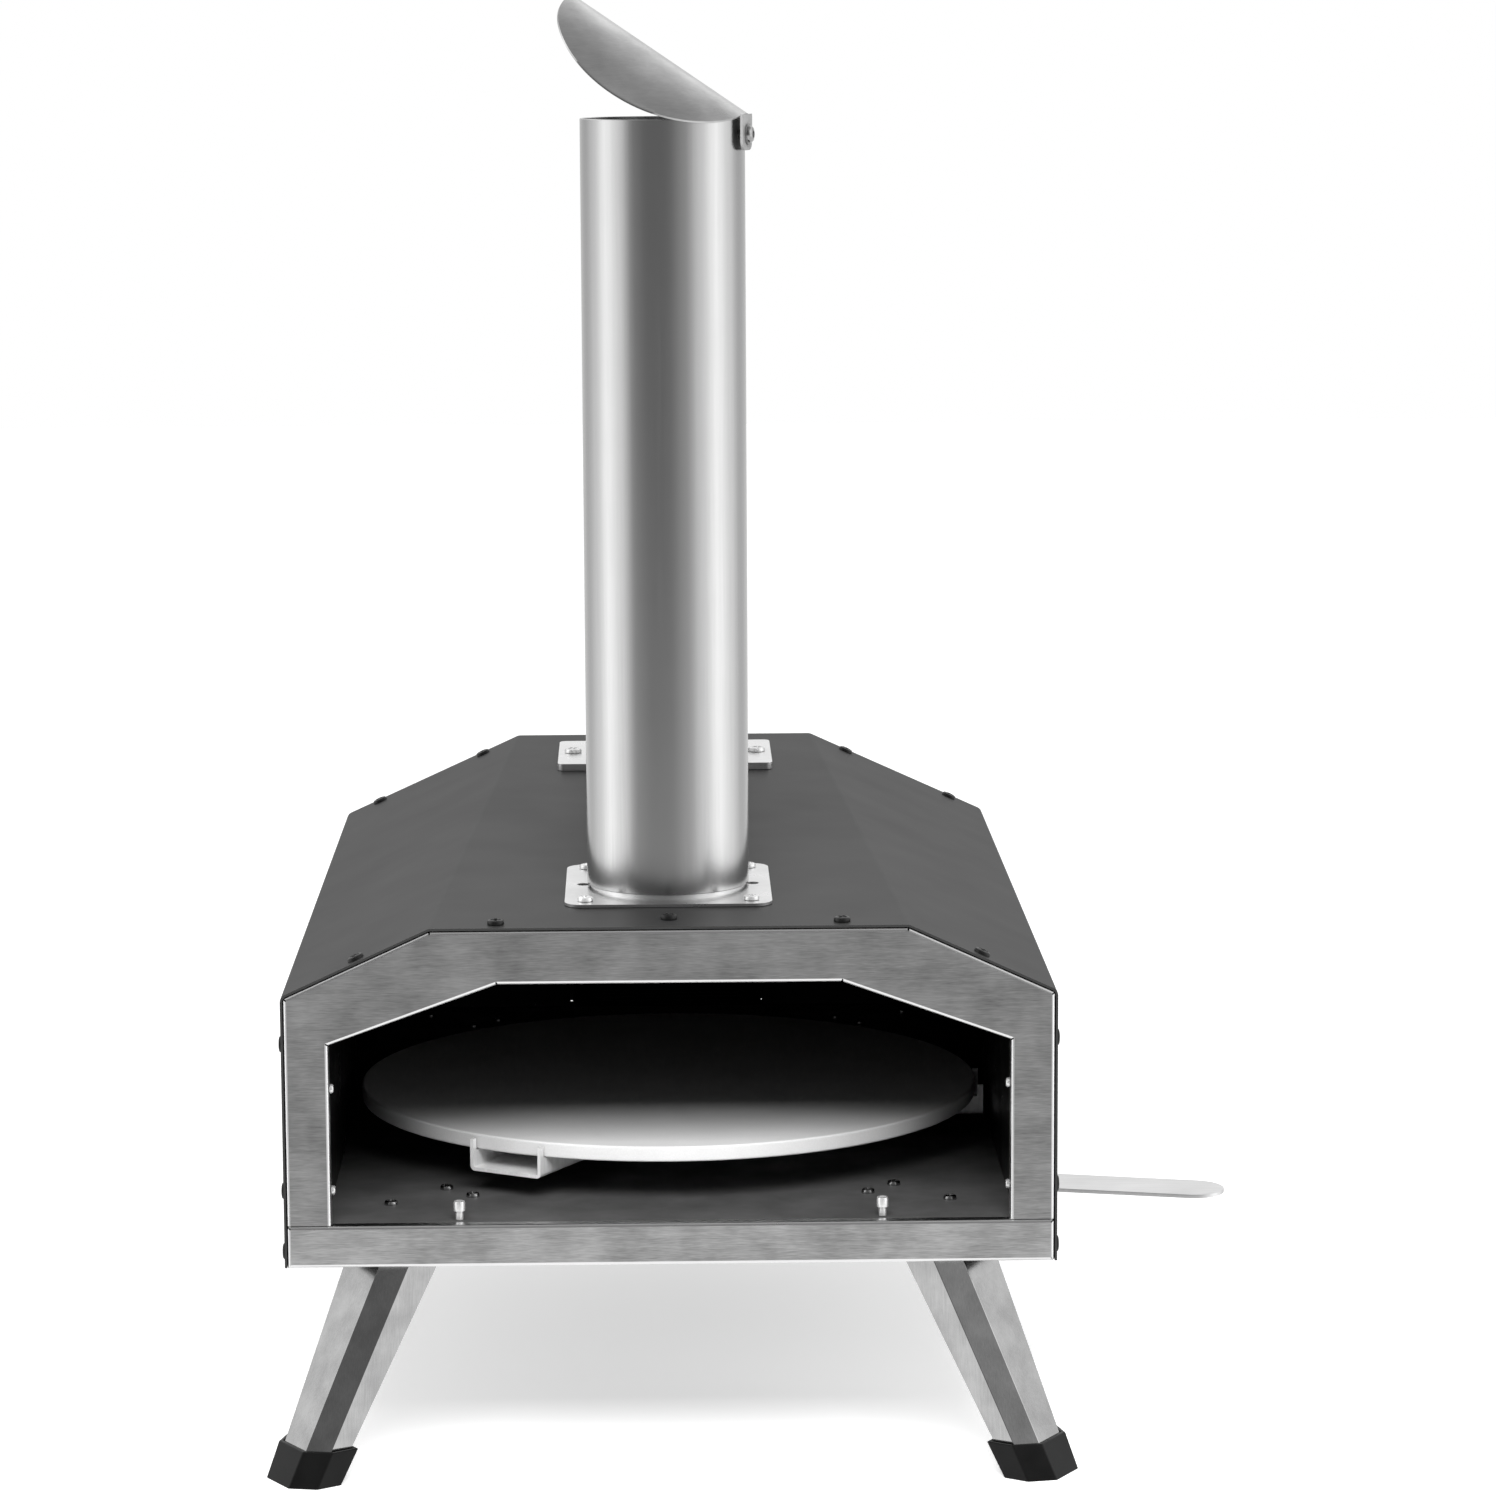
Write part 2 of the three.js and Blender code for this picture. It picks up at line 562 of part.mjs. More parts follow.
// ---------------------------------------------------------------- burner drawer
function buildBurner() {
  const trayZ = FLOOR_Z + 0.6;
  const tray = cut(
    box(-TRAY.halfWidth, TRAY.halfWidth, TRAY.frontY, TRAY.backY, trayZ, TRAY.topZ),
    box(
      -TRAY.halfWidth + SHEET,
      TRAY.halfWidth - SHEET,
      TRAY.frontY + SHEET,
      TRAY.backY - SHEET,
      trayZ + SHEET,
      TRAY.topZ + 5,
    ),
  );
  add("burner_tray", tray, plainSteel);

  const grateHalf = TRAY.halfWidth - SHEET - 0.5;
  const grateFront = TRAY.frontY + SHEET + 0.5;
  const grateBack = TRAY.backY - 24;
  const grateZ = trayZ + SHEET + GAP;
  const grateTop = grateZ + 13;
  const slots = [];
  const slotCount = 11;
  for (let i = 0; i < slotCount; i++) {
    const y = grateFront + 8 + (i * (grateBack - grateFront - 16)) / (slotCount - 1);
    slots.push(box(-grateHalf + 8, grateHalf - 8, y - 2, y + 2, grateTop - 5, grateTop + 5));
  }
  const grate = cut(
    box(-grateHalf, grateHalf, grateFront, grateBack, grateZ, grateTop),
    box(-grateHalf - 1, grateHalf + 1, grateFront + SHEET, grateBack - SHEET, grateZ - 1, grateTop - 1.5),
    ...slots,
  );
  add("fire_grate", grate, plainSteel);

  const doorFront = TRAY.backY + GAP;
  const doorOutline = roundedRectangle(140, 52, 6);
  const door = extrude(doorOutline, 1.5)
    .rotateX(Math.PI / 2)
    .translate(0, doorFront + 1.5, 160);
  add("burner_door", door, brushedSteel);

  const handleHalf = 34;
  const handleOut = 32;
  const bend = 10;
  const handleY = doorFront + 1.5 + GAP;
  const handlePath = new THREE.CurvePath();
  const corner = (from, control, to) => handlePath.add(new THREE.QuadraticBezierCurve3(from, control, to));
  const at = (x, y) => new THREE.Vector3(x, handleY + y, 162);
  handlePath.add(new THREE.LineCurve3(at(-handleHalf, 0), at(-handleHalf, handleOut - bend)));
  corner(at(-handleHalf, handleOut - bend), at(-handleHalf, handleOut), at(-handleHalf + bend, handleOut));
  handlePath.add(new THREE.LineCurve3(at(-handleHalf + bend, handleOut), at(handleHalf - bend, handleOut)));
  corner(at(handleHalf - bend, handleOut), at(handleHalf, handleOut), at(handleHalf, handleOut - bend));
  handlePath.add(new THREE.LineCurve3(at(handleHalf, handleOut - bend), at(handleHalf, 0)));
  const rod = new THREE.Shape().absarc(0, 0, 4, 0, 2 * Math.PI);
  const handle = new THREE.ExtrudeGeometry(rod, { steps: 26, curveSegments: 4, extrudePath: handlePath });
  add("burner_handle", handle, blackPlastic);
}

// ---------------------------------------------------------------- turntable
function armGeometry(angle) {
  const half = ARM.width / 2;
  const bottomZ = STONE.bottomZ - GAP - ARM.height;
  const seatZ = STONE.bottomZ - GAP;
  const channel = cut(
    join(
      box(0, ARM.reach, -half, half, bottomZ, seatZ),
      box(ARM.prongStart, ARM.reach, -half, half, bottomZ, seatZ + ARM.prongRise),
    ),
    box(-1, ARM.reach + 5, -half + ARM.sheet, half - ARM.sheet, bottomZ + ARM.sheet, seatZ + 20),
  );
  return channel.rotateZ(angle).translate(0, STONE.y, 0);
}

function buildTurntable() {
  const hubZ = STONE.bottomZ - GAP - ARM.height;
  const arms = [0, 1, 2].map((i) => armGeometry((i * 2 * Math.PI) / 3));
  const hubRadius = 34;
  const carrier = cut(
    join(...arms, upright(hubRadius, hubZ, hubZ + ARM.sheet, 0, STONE.y)),
    upright(22, hubZ + ARM.sheet, hubZ + 40, 0, STONE.y, 32),
    upright(4.4, hubZ - 5, hubZ + 5, 0, STONE.y, 24),
  );
  add("stone_carrier", carrier, brushedSteel);

  const stone = add("pizza_stone", upright(STONE.radius, 0, STONE.thickness, 0, 0, 96), stoneFinish);
  stone.position.set(0, STONE.y, STONE.bottomZ);

  const leverTop = LEVER.z + LEVER.thickness;
  const shaftProfile = [
    [0, LEVER.z - 6],
    [4, LEVER.z - 6],
    [4, leverTop + GAP],
    [5, leverTop + GAP],
    [5, FLOOR_Z + 2.7],
    [11, FLOOR_Z + 2.7],
    [11, FLOOR_Z + 5.5],
    [5, FLOOR_Z + 5.5],
    [5, hubZ - GAP - 2],
    [15, hubZ - GAP - 2],
    [15, hubZ - GAP],
    [4, hubZ - GAP],
    [4, hubZ + 8],
    [0, hubZ + 8],
  ].map(([r, z]) => new THREE.Vector2(r, z));
  const shaft = add("turntable_shaft", new THREE.LatheGeometry(shaftProfile, 20).rotateX(Math.PI / 2), plainSteel);
  shaft.position.set(0, STONE.y, 0);

  const nutZ = hubZ + ARM.sheet + GAP;
  const hubNut = cut(upright(7.2, nutZ, nutZ + 5, 0, STONE.y, 6), upright(4.3, nutZ - 5, nutZ + 9, 0, STONE.y, 24));
  add("hub_nut", hubNut, plainSteel);

  const bush = cut(
    join(upright(9, 122, FLOOR_Z + 1, 0, STONE.y, 24), upright(15, FLOOR_Z + GAP, FLOOR_Z + 2.4, 0, STONE.y, 24)),
    upright(5.4, 100, 150, 0, STONE.y, 24),
  );
  add("shaft_bush", bush, plainSteel);

  const half = LEVER.width / 2;
  const barOutline = new THREE.Shape();
  barOutline.absarc(LEVER.reach - half, 0, half, -Math.PI / 2, Math.PI / 2);
  barOutline.absarc(0, 0, half, Math.PI / 2, 1.5 * Math.PI);
  const barHole = new THREE.Path().absarc(0, 0, 4.4, 0, 2 * Math.PI, true);
  barOutline.holes.push(barHole);
  const lever = add("turn_lever", extrude(barOutline, LEVER.thickness, 14), brushedSteel);
  lever.position.set(0, STONE.y, LEVER.z);
  lever.rotation.z = LEVER_ANGLE;

  const nutTop = LEVER.z - GAP;
  const leverNut = cut(
    upright(7.2, nutTop - 4.5, nutTop, 0, STONE.y, 6),
    upright(4.3, nutTop - 10, nutTop + 10, 0, STONE.y, 24),
  );
  add("lever_nut", leverNut, plainSteel);
}

// ---------------------------------------------------------------- folding legs
// Leg frame: the origin is the middle of the hinge pin, X points out along the lean,
// Y runs along the pin and Z is up.
const LEG_SPAN = LEG_PIN.z / Math.cos(LEG_LEAN); // pin to ground along the leg

function legSectionAt(distance) {
  const share = distance / LEG_SPAN;
  const mix = (key) => THREE.MathUtils.lerp(LEG_TOP[key], LEG_FOOT[key], share);
  return { web: mix("web"), chamfer: mix("chamfer"), depth: mix("depth") };
}

// The channel's section across the leg, in X (out) and Y (along the pin), at a distance below the pin.
function channelOutline(distance) {
  const { web, chamfer, depth } = legSectionAt(distance);
  const out = LEG_WEB_OFFSET;
  const side = web + chamfer;
  const slip = LEG_SHEET * Math.tan(Math.PI / 8);
  const half = [
    [out - depth, side],
    [out - chamfer, side],
    [out, web],
  ];
  const inner = [
    [out - LEG_SHEET, web - slip],
    [out - chamfer - slip, side - LEG_SHEET],
    [out - depth, side - LEG_SHEET],
  ];
  const mirror = (points) => points.map(([x, y]) => [x, -y]).reverse();
  return [...half, ...mirror(half), ...mirror(inner), ...inner].map(
    ([x, y]) => new THREE.Vector3(x, y, -distance),
  );
}

function legGeometry() {
  const flatten = (p) => new THREE.Vector2(p.x, p.y);
  const channel = loft(channelOutline(-LEG_EYE_RADIUS), channelOutline(LEG_SPAN + 20), flatten);
  const keep = join(alongY(LEG_EYE_RADIUS, -40, 40, 32), box(-60, 60, -60, 60, -LEG_SPAN - 40, 0));
  const trimmed = cut(common(channel, keep), alongY(3.4, -40, 40));
  return cut(trimmed.rotateY(-LEG_LEAN), box(-200, 200, -60, 60, -250, LEG_CUT_Z - LEG_PIN.z));
}

// The leg's outer envelope on a level plane at height z above the ground, grown by a margin.
function footOutline(z, margin) {
  const below = LEG_PIN.z - z;
  const { web, chamfer, depth } = legSectionAt(below / Math.cos(LEG_LEAN));
  const level = (out) => out / Math.cos(LEG_LEAN) + below * Math.tan(LEG_LEAN);
  const slip = margin * Math.tan(Math.PI / 8);
  const half = [
    [level(LEG_WEB_OFFSET - depth) - margin, web + chamfer + margin],
    [level(LEG_WEB_OFFSET - chamfer) + slip, web + chamfer + margin],
    [level(LEG_WEB_OFFSET) + margin, web + slip],
  ];
  const mirrored = half.map(([x, y]) => [x, -y]).reverse();
  return [...half, ...mirrored].map(([x, y]) => new THREE.Vector3(x, y, z - LEG_PIN.z));
}

function footGeometry() {
  const flatten = (p) => new THREE.Vector2(p.x, p.y);
  const outer = loft(footOutline(0, FOOT_WALL), footOutline(FOOT_HEIGHT, FOOT_WALL), flatten);
  const cavity = loft(footOutline(LEG_CUT_Z - GAP, 0.4), footOutline(FOOT_HEIGHT + 2, 0.4), flatten);
  return cut(outer, cavity);
}

function bracketGeometry() {
  const half = 19.5;
  const plateTop = FLOOR_Z - SHEET - GAP - LEG_PIN.z;
  const plate = box(-48, 12, -half, half, plateTop - 1.5, plateTop);
  const ear = new THREE.Shape();
  ear.moveTo(9, plateTop - 1);
  ear.lineTo(-9, plateTop - 1);
  ear.lineTo(-8, 0);
  ear.absarc(0, 0, 8, Math.PI, 2 * Math.PI);
  const stand = (y) => extrude(ear, 1.5).rotateX(Math.PI / 2).translate(0, y, 0);
  return cut(join(plate, stand(half), stand(-half + 1.5)), alongY(3.4, -40, 40));
}

function pinGeometry() {
  const end = LEG_TOP.web + LEG_TOP.chamfer + 0.8;
  return join(alongY(3, -end - 1, end + 1), alongY(5.5, -end - 3, -end), alongY(5.5, end, end + 3));
}

function buildLegs() {
  const leg = legGeometry();
  const foot = footGeometry();
  const bracket = bracketGeometry();
  const pin = pinGeometry();
  for (const [corner, sideX, sideY] of [
    ["front_left", -1, -1],
    ["front_right", 1, -1],
    ["rear_left", -1, 1],
    ["rear_right", 1, 1],
  ]) {
    const hinge = new THREE.Group();
    const y = sideY < 0 ? LEG_PIN.y : BODY_DEPTH - LEG_PIN.y;
    hinge.position.set(sideX * LEG_PIN.x, y, LEG_PIN.z);
    hinge.rotation.z = Math.atan2(sideY * Math.sin(LEG_PLAN_ANGLE), sideX * Math.cos(LEG_PLAN_ANGLE));
    oven.add(hinge);
    add(`leg_${corner}`, leg, brushedSteel, hinge);
    add(`foot_${corner}`, foot, blackPlastic, hinge);
    add(`leg_bracket_${corner}`, bracket, plainSteel, hinge);
    add(`leg_pin_${corner}`, pin, plainSteel, hinge);
  }
}

// ---------------------------------------------------------------- assembly
buildFrontFrame();
buildFrontRail();
buildOuterShell();
buildFloorPan();
buildInnerLiner();
buildInsulation();
buildBackPanel();
buildShellScrews();
buildDoorStops();
buildChimney();
buildCap();
buildHopper();
buildBurner();
buildTurntable();
buildLegs();

// The part's origin is on the ground under the middle of everything, lever and handle included.
oven.updateMatrixWorld(true);
const reach = new THREE.Box3().setFromObject(oven, true);
const middle = reach.getCenter(new THREE.Vector3());
oven.position.set(-middle.x, -middle.y, -reach.min.z);

const part = new THREE.Group();
part.add(oven);
export default part;
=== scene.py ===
"""Looks for a portable wood fired pizza oven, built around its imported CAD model.

Every shape is worked out in the oven's own frame, in millimetres: X = 0 is the middle plane of the
body, Y = 0 its front face and Z = 0 the ground. piece() turns it into the row frame, in metres.
"""

import json
import math

import bmesh
import bpy
from mathutils import Matrix, Vector, noise


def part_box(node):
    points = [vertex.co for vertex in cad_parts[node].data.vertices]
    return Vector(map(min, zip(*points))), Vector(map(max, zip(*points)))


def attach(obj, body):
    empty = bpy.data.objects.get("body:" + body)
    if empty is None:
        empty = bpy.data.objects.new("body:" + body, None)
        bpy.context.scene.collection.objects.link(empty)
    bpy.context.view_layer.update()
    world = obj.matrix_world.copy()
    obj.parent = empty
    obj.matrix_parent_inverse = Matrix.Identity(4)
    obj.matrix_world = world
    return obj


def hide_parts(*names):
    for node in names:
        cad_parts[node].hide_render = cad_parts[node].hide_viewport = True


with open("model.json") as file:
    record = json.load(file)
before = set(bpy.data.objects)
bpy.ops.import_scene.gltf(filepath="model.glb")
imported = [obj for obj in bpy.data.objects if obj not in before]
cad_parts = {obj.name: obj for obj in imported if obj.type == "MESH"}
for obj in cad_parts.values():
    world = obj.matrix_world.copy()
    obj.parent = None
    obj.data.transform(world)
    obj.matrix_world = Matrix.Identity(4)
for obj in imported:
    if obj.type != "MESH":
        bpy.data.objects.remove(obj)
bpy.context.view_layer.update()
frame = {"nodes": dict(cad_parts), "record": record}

MM = 0.001
SHELL_LOW, SHELL_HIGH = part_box("outer_shell")
MIDDLE_X = (SHELL_LOW.x + SHELL_HIGH.x) / 2
FRONT_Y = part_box("front_frame")[0].y
TO_ROW = Matrix.Translation((MIDDLE_X, FRONT_Y, 0)) @ Matrix.Scale(MM, 4)
TO_OVEN = TO_ROW.inverted()


def oven_box(node):
    """Lowest and highest corner of a CAD node in the oven's frame, in millimetres."""
    low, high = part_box(node)
    return TO_OVEN @ low, TO_OVEN @ high


def oven_centre(node):
    low, high = oven_box(node)
    return (low + high) / 2


def size_of(node):
    low, high = oven_box(node)
    return high - low


# ---------------------------------------------------------------- driving dimensions
GAP = 0.3
SHEET = 1.2
BODY_DEPTH = oven_box("outer_shell")[1].y
FLOOR_Z = oven_box("floor_pan")[1].z
ROOF_RISE = 14
HALF_WIDTH = size_of("outer_shell").x / 2
BACK_ROOF_Z = oven_box("outer_shell")[1].z
OUTER_ARCH = {
    "half": HALF_WIDTH,
    "shoulder": 249.5,
    "roof": BACK_ROOF_Z - ROOF_RISE,
    "slope": 0.4557,
}
MOUTH_ARCH = {"half": 169.5, "shoulder": 224.7, "roof": 254.8, "slope": 0.3588}
FOLD_RADIUS = 1.7
FOLD_TURNS = [math.pi / 2 * i / 6 for i in range(7)]
FLAP_NOTCH = 0.45  # half of the slit between two folded flaps at a corner
SHELL_FOLD_RADIUS = 4
ROOF_TILT = math.atan(ROOF_RISE / BODY_DEPTH)
CHAMFER_ANGLE = math.atan(OUTER_ARCH["slope"])
UP = Vector((0, 0, 1))
ROOF_NORMAL = Vector((0, -math.sin(ROOF_TILT), math.cos(ROOF_TILT)))

CHIMNEY = {
    "y": oven_centre("chimney_flange").y,
    "radius": 41.5,
    "wall": 1,
    "bottom": oven_box("chimney_tube")[0].z,
    "top": oven_box("chimney_tube")[1].z,
}
CAP_AZIMUTH = math.radians(-17)
CAP_TILT = math.radians(33)
CAP = {"length": 108, "half_width": 51, "power": 0.77, "tab_radius": 43.8, "tab_width": 17.7}
CAP_BEND_Z = CHIMNEY["top"] + 1.5
CAP_SCREW_DROP = 8.1

SIDE_SCREW_HEIGHTS = (117, 148, 223)
JAMB_SCREW_HEIGHTS = (148, 200)
REAR_SCREW_PLACES = (109.5, 172)  # across, on the sloping shoulders
BRACKET_SCREW_PLACES = ((142, 44), (115, 75.5), (101, 59))  # across, and in from either end
EDGE_SCREW_Y = 14
REAR_SCREW_Y = BODY_DEPTH - 11

DOOR_OVERLAP = 1.3  # closes the sight line under the burner door's lower edge
STONE = {"y": oven_centre("pizza_stone").y, "radius": size_of("pizza_stone").x / 2}
CARRIER = {"width": 42, "sheet": 1.8, "bend": 2.6, "reach": 168.5, "prong": 3.1}


# ---------------------------------------------------------------- node materials
class Material:
    """A procedural material under construction: a Principled shader and the nodes that feed it."""

    def __init__(self, name, metallic=0.0, specular=0.5):
        self.data = bpy.data.materials.new(name)
        self.data.use_nodes = True
        self.tree = self.data.node_tree
        self.shader = self.tree.nodes["Principled BSDF"]
        self.shader.inputs["Metallic"].default_value = metallic
        self.shader.inputs["Specular IOR Level"].default_value = specular
        self.coordinates = self.tree.nodes.new("ShaderNodeTexCoord").outputs["Object"]

    def node(self, kind, **inputs):
        made = self.tree.nodes.new(kind)
        for name, value in inputs.items():
            self.feed(made.inputs[name.replace("_", " ")], value)
        return made

    def feed(self, socket, value):
        if isinstance(value, bpy.types.NodeSocket):
            self.tree.links.new(value, socket)
        else:
            socket.default_value = value

    def noise(self, scale, detail=2.0, stretch=(1, 1, 1)):
        """Noise in object space: scale is features per metre, stretch divides it along an axis."""
        mapping = self.node("ShaderNodeMapping", Vector=self.coordinates)
        mapping.inputs["Scale"].default_value = [scale / s for s in stretch]
        made = self.node("ShaderNodeTexNoise", Vector=mapping.outputs[0], Scale=1.0, Detail=detail)
        return made.outputs["Fac"]

    def spread(self, value, low, high, centre=0.5, width=0.3):
        """Maps noise round its centre to low..high."""
        made = self.node("ShaderNodeMapRange", Value=value)
        made.inputs["From Min"].default_value = centre - width / 2
        made.inputs["From Max"].default_value = centre + width / 2
        made.inputs["To Min"].default_value = low
        made.inputs["To Max"].default_value = high
        return made.outputs[0]

    def sum(self, first, second, share):
        """first and second, weighted by 1 - share and share."""
        made = self.node("ShaderNodeMix")
        made.inputs[0].default_value = share
        self.feed(made.inputs[2], first)
        self.feed(made.inputs[3], second)
        return made.outputs[0]

    def tone(self, factor, dark, light):
        made = self.node("ShaderNodeMix")
        made.data_type = "RGBA"
        self.feed(made.inputs[0], factor)
        made.inputs[6].default_value = (*dark, 1)
        made.inputs[7].default_value = (*light, 1)
        self.feed(self.shader.inputs["Base Color"], made.outputs[2])

    def roughness(self, value):
        self.feed(self.shader.inputs["Roughness"], value)

    def bump(self, height, depth, strength=1.0):
        """depth is the relief's height in metres."""
        made = self.node("ShaderNodeBump", Height=height, Strength=strength, Distance=depth)
        self.feed(self.shader.inputs["Normal"], made.outputs[0])


def grey(value):
    return (value, value, value)


def brushed_steel(name, brightness, rough, grain=(60, 1, 1), contrast=0.1, blotch=0.35):
    """Sheet steel with fine brush lines along the longest direction of grain."""
    made = Material(name, metallic=1.0)
    lines = made.noise(2600, 3, grain)
    streaks = made.noise(500, 2, grain)
    clouds = made.noise(38, 3)
    brushed = made.sum(lines, streaks, 0.35)
    mixed = made.sum(brushed, clouds, blotch)
    made.tone(
        made.spread(mixed, 0.0, 1.0, width=0.32),
        grey(brightness * (1 - contrast)),
        grey(brightness * (1 + contrast)),
    )
    made.roughness(made.spread(mixed, rough * 1.12, rough * 0.86, width=0.34))
    made.bump(brushed, 0.00003, 0.5)
    return made.data


def mottled_steel(name, brightness, rough, metallic=1.0):
    """Plain sheet steel with the cloudy tone of a rolled finish and faint scratches."""
    made = Material(name, metallic)
    clouds = made.noise(70, 4)
    scratches = made.noise(1500, 2, (1, 1, 30))
    mixed = made.sum(clouds, scratches, 0.3)
    made.tone(made.spread(mixed, 0.0, 1.0), grey(brightness * 0.84), grey(brightness * 1.12))
    made.roughness(made.spread(clouds, rough * 1.15, rough * 0.85))
    made.bump(scratches, 0.00002, 0.4)
    return made.data


def powder_coat(name, brightness, rough, specular=0.5):
    """Black powder coat: an even, finely pebbled skin that is a little duller in places."""
    made = Material(name, specular=specular)
    pebbles = made.noise(1100, 2)
    clouds = made.noise(22, 2)
    made.tone(
        made.spread(clouds, 0.0, 1.0, width=0.5), grey(brightness * 0.95), grey(brightness * 1.06)
    )
    made.roughness(made.spread(clouds, rough * 1.03, rough * 0.97, width=0.5))
    made.bump(pebbles, 0.00002, 0.35)
    return made.data


def enamel(name, brightness, rough):
    """Smooth heat-proof enamel of the oven's inside, with faint soot in clouds."""
    made = Material(name, specular=0.4)
    soot = made.noise(30, 4)
    specks = made.noise(900, 1)
    made.tone(
        made.spread(soot, 0.0, 1.0, width=0.4), grey(brightness * 0.75), grey(brightness * 1.2)
    )
    made.roughness(made.spread(soot, rough * 1.25, rough * 0.9))
    made.bump(specks, 0.00001, 0.3)
    return made.data


def baking_stone(name):
    """Fired cordierite: pale and matt, with fine pores and a slightly cloudy face."""
    made = Material(name, specular=0.2)
    pores = made.noise(1400, 3)
    clouds = made.noise(24, 3)
    mixed = made.sum(pores, clouds, 0.5)
    made.tone(made.spread(mixed, 0.0, 1.0, width=0.36), grey(0.52), grey(0.6))
    made.roughness(made.spread(pores, 0.78, 0.95))
    made.bump(pores, 0.00012, 0.35)
    return made.data


def soot_and_shade_steel(name, axis, edge, width):
    """Steel that is black on the fire's side of a plane: soot, and painted shade for the dark inside
    of the oven.

    The plane is square to axis 1 or 2 and lies at edge; the change is width across, in metres.
    """
    made = Material(name)
    parts = made.node("ShaderNodeSeparateXYZ", Vector=made.coordinates)
    clean_and_lit = made.spread(parts.outputs[axis], 0.0, 1.0, edge, width)
    # the black side is soot plus painted shade; the other side keeps the steel's own tone
    made.tone(clean_and_lit, grey(0.004), grey(0.46))
    made.feed(made.shader.inputs["Metallic"], clean_and_lit)
    made.roughness(made.sum(made.spread(clean_and_lit, 0.8, 0.3), made.noise(400, 3), 0.15))
    return made.data


def moulded_plastic(name, brightness, rough, specular):
    """Black moulded plastic with a fine spark-eroded texture."""
    made = Material(name, specular=specular)
    texture = made.noise(2400, 2)
    clouds = made.noise(60, 2)
    made.tone(made.spread(clouds, 0.0, 1.0), grey(brightness * 0.8), grey(brightness * 1.3))
    made.roughness(made.spread(texture, rough * 0.88, rough * 1.12))
    made.bump(texture, 0.00003, 0.3)
    return made.data


def ceramic_wool(name):
    """Matted ceramic fibre."""
    made = Material(name, specular=0.1)
    fibres = made.noise(900, 4, (6, 1, 1))
    tufts = made.noise(60, 4)
    mixed = made.sum(fibres, tufts, 0.5)
    made.tone(made.spread(mixed, 0.0, 1.0), grey(0.6), grey(0.86))
    made.roughness(made.spread(fibres, 0.9, 1.0))
    made.bump(mixed, 0.0006, 0.6)
    return made.data


FRAME_STEEL = brushed_steel("frame_brushed_steel", 0.46, 0.33, (16, 1, 1), 0.4, 0.45)
RAIL_STEEL = brushed_steel("rail_brushed_steel", 0.63, 0.33, (16, 1, 1), 0.4, 0.45)
# the folded edges take a much brighter copy of the frame's steel: a painted highlight along the
# folds
EDGE_HIGHLIGHT_STEEL = brushed_steel("folded_edge_painted_highlight_steel", 0.95, 0.3, (40, 1, 1), 0.03)
TUBE_STEEL = brushed_steel("chimney_brushed_steel", 0.58, 0.22, (1, 1, 120), 0.03, 0.2)
CAP_STEEL = brushed_steel("cap_brushed_steel", 0.52, 0.25, (20, 6, 1), 0.2, 0.7)
# the tab, one sheet with the cap, gets its own duller, half-metallic copy of the steel, which sets
# how light it reads: painted light
TAB_STEEL = mottled_steel("tab_painted_light_steel", 0.3, 0.4, 0.3)
LEVER_STEEL = brushed_steel("lever_brushed_steel", 0.78, 0.32)
BRIGHT_STEEL = brushed_steel("bright_steel", 0.85, 0.3, (8, 8, 1), 0.05, 0.6)
CARRIER_STEEL = mottled_steel("galvanised_steel", 0.85, 0.4, 0.4)
LEG_STEEL = mottled_steel("leg_steel", 0.5, 0.16)
PLAIN_STEEL = mottled_steel("plain_steel", 0.6, 0.35)
SCREW_STEEL = mottled_steel("screw_steel", 0.78, 0.2, 0.7)
DULL_SCREW_STEEL = mottled_steel("dull_screw_steel", 0.4, 0.2)
SHELL_PAINT = powder_coat("shell_powder_coat", 0.024, 0.5, 0.22)
SCREW_PAINT = powder_coat("black_screw_finish", 0.006, 0.3, 0.3)
# black below the roof line: soot plus painted shade inside the oven
CHUTE_STEEL = soot_and_shade_steel("soot_and_shade_chute_steel", 2, BACK_ROOF_Z * MM, 0.006)
# black on all but the door's outer face: soot plus painted shade that hides glints on the tray and
# grate
DRAWER_STEEL = soot_and_shade_steel(
    "soot_and_shade_drawer_steel", 1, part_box("burner_door")[1].y - 0.0006, 0.0006
)
LINER_ENAMEL = enamel("liner_enamel", 0.006, 0.3)
FLOOR_ENAMEL = enamel("floor_enamel", 0.065, 0.4)
STONE_LOOK = baking_stone("baking_stone")
PLASTIC = moulded_plastic("black_plastic", 0.004, 0.34, 0.2)
WOOL = ceramic_wool("ceramic_wool")

BODIES = frame["record"]["behaviour"]["bodies"]
BODY_OF = {node: body for body, nodes in BODIES.items() for node in nodes}
SLOT_OF = {part["node"]: part["material_slot"] for part in frame["record"]["subparts"]}


# ---------------------------------------------------------------- pieces and mesh tools
def piece(name, shape, material, body, slot, stands_for=(), sharp=40, second=None):
    """Turns a bmesh in oven millimetres into an object that rides on a CAD body.

    Faces with material index 1 take the second material.
    """
    bmesh.ops.recalc_face_normals(shape, faces=shape.faces)
    mesh = bpy.data.meshes.new(name)
    shape.transform(TO_ROW)
    shape.to_mesh(mesh)
    shape.free()
    for look in filter(None, (material, second)):
        mesh.materials.append(look)
    mesh.polygons.foreach_set("use_smooth", [True] * len(mesh.polygons))
    mesh.set_sharp_from_angle(angle=math.radians(sharp))
    made = bpy.data.objects.new(name, mesh)
    bpy.context.scene.collection.objects.link(made)
    even = made.modifiers.new("even_normals", "WEIGHTED_NORMAL")
    even.keep_sharp = True
    even.weight = 60
    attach(made, body)
    if stands_for:
        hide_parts(*stands_for)
    return made


def for_node(node, shape, material, **options):
    """A piece that stands for one CAD node and takes its body."""
    return piece("fine_" + node, shape, material, BODY_OF[node], SLOT_OF[node], (node,), **options)


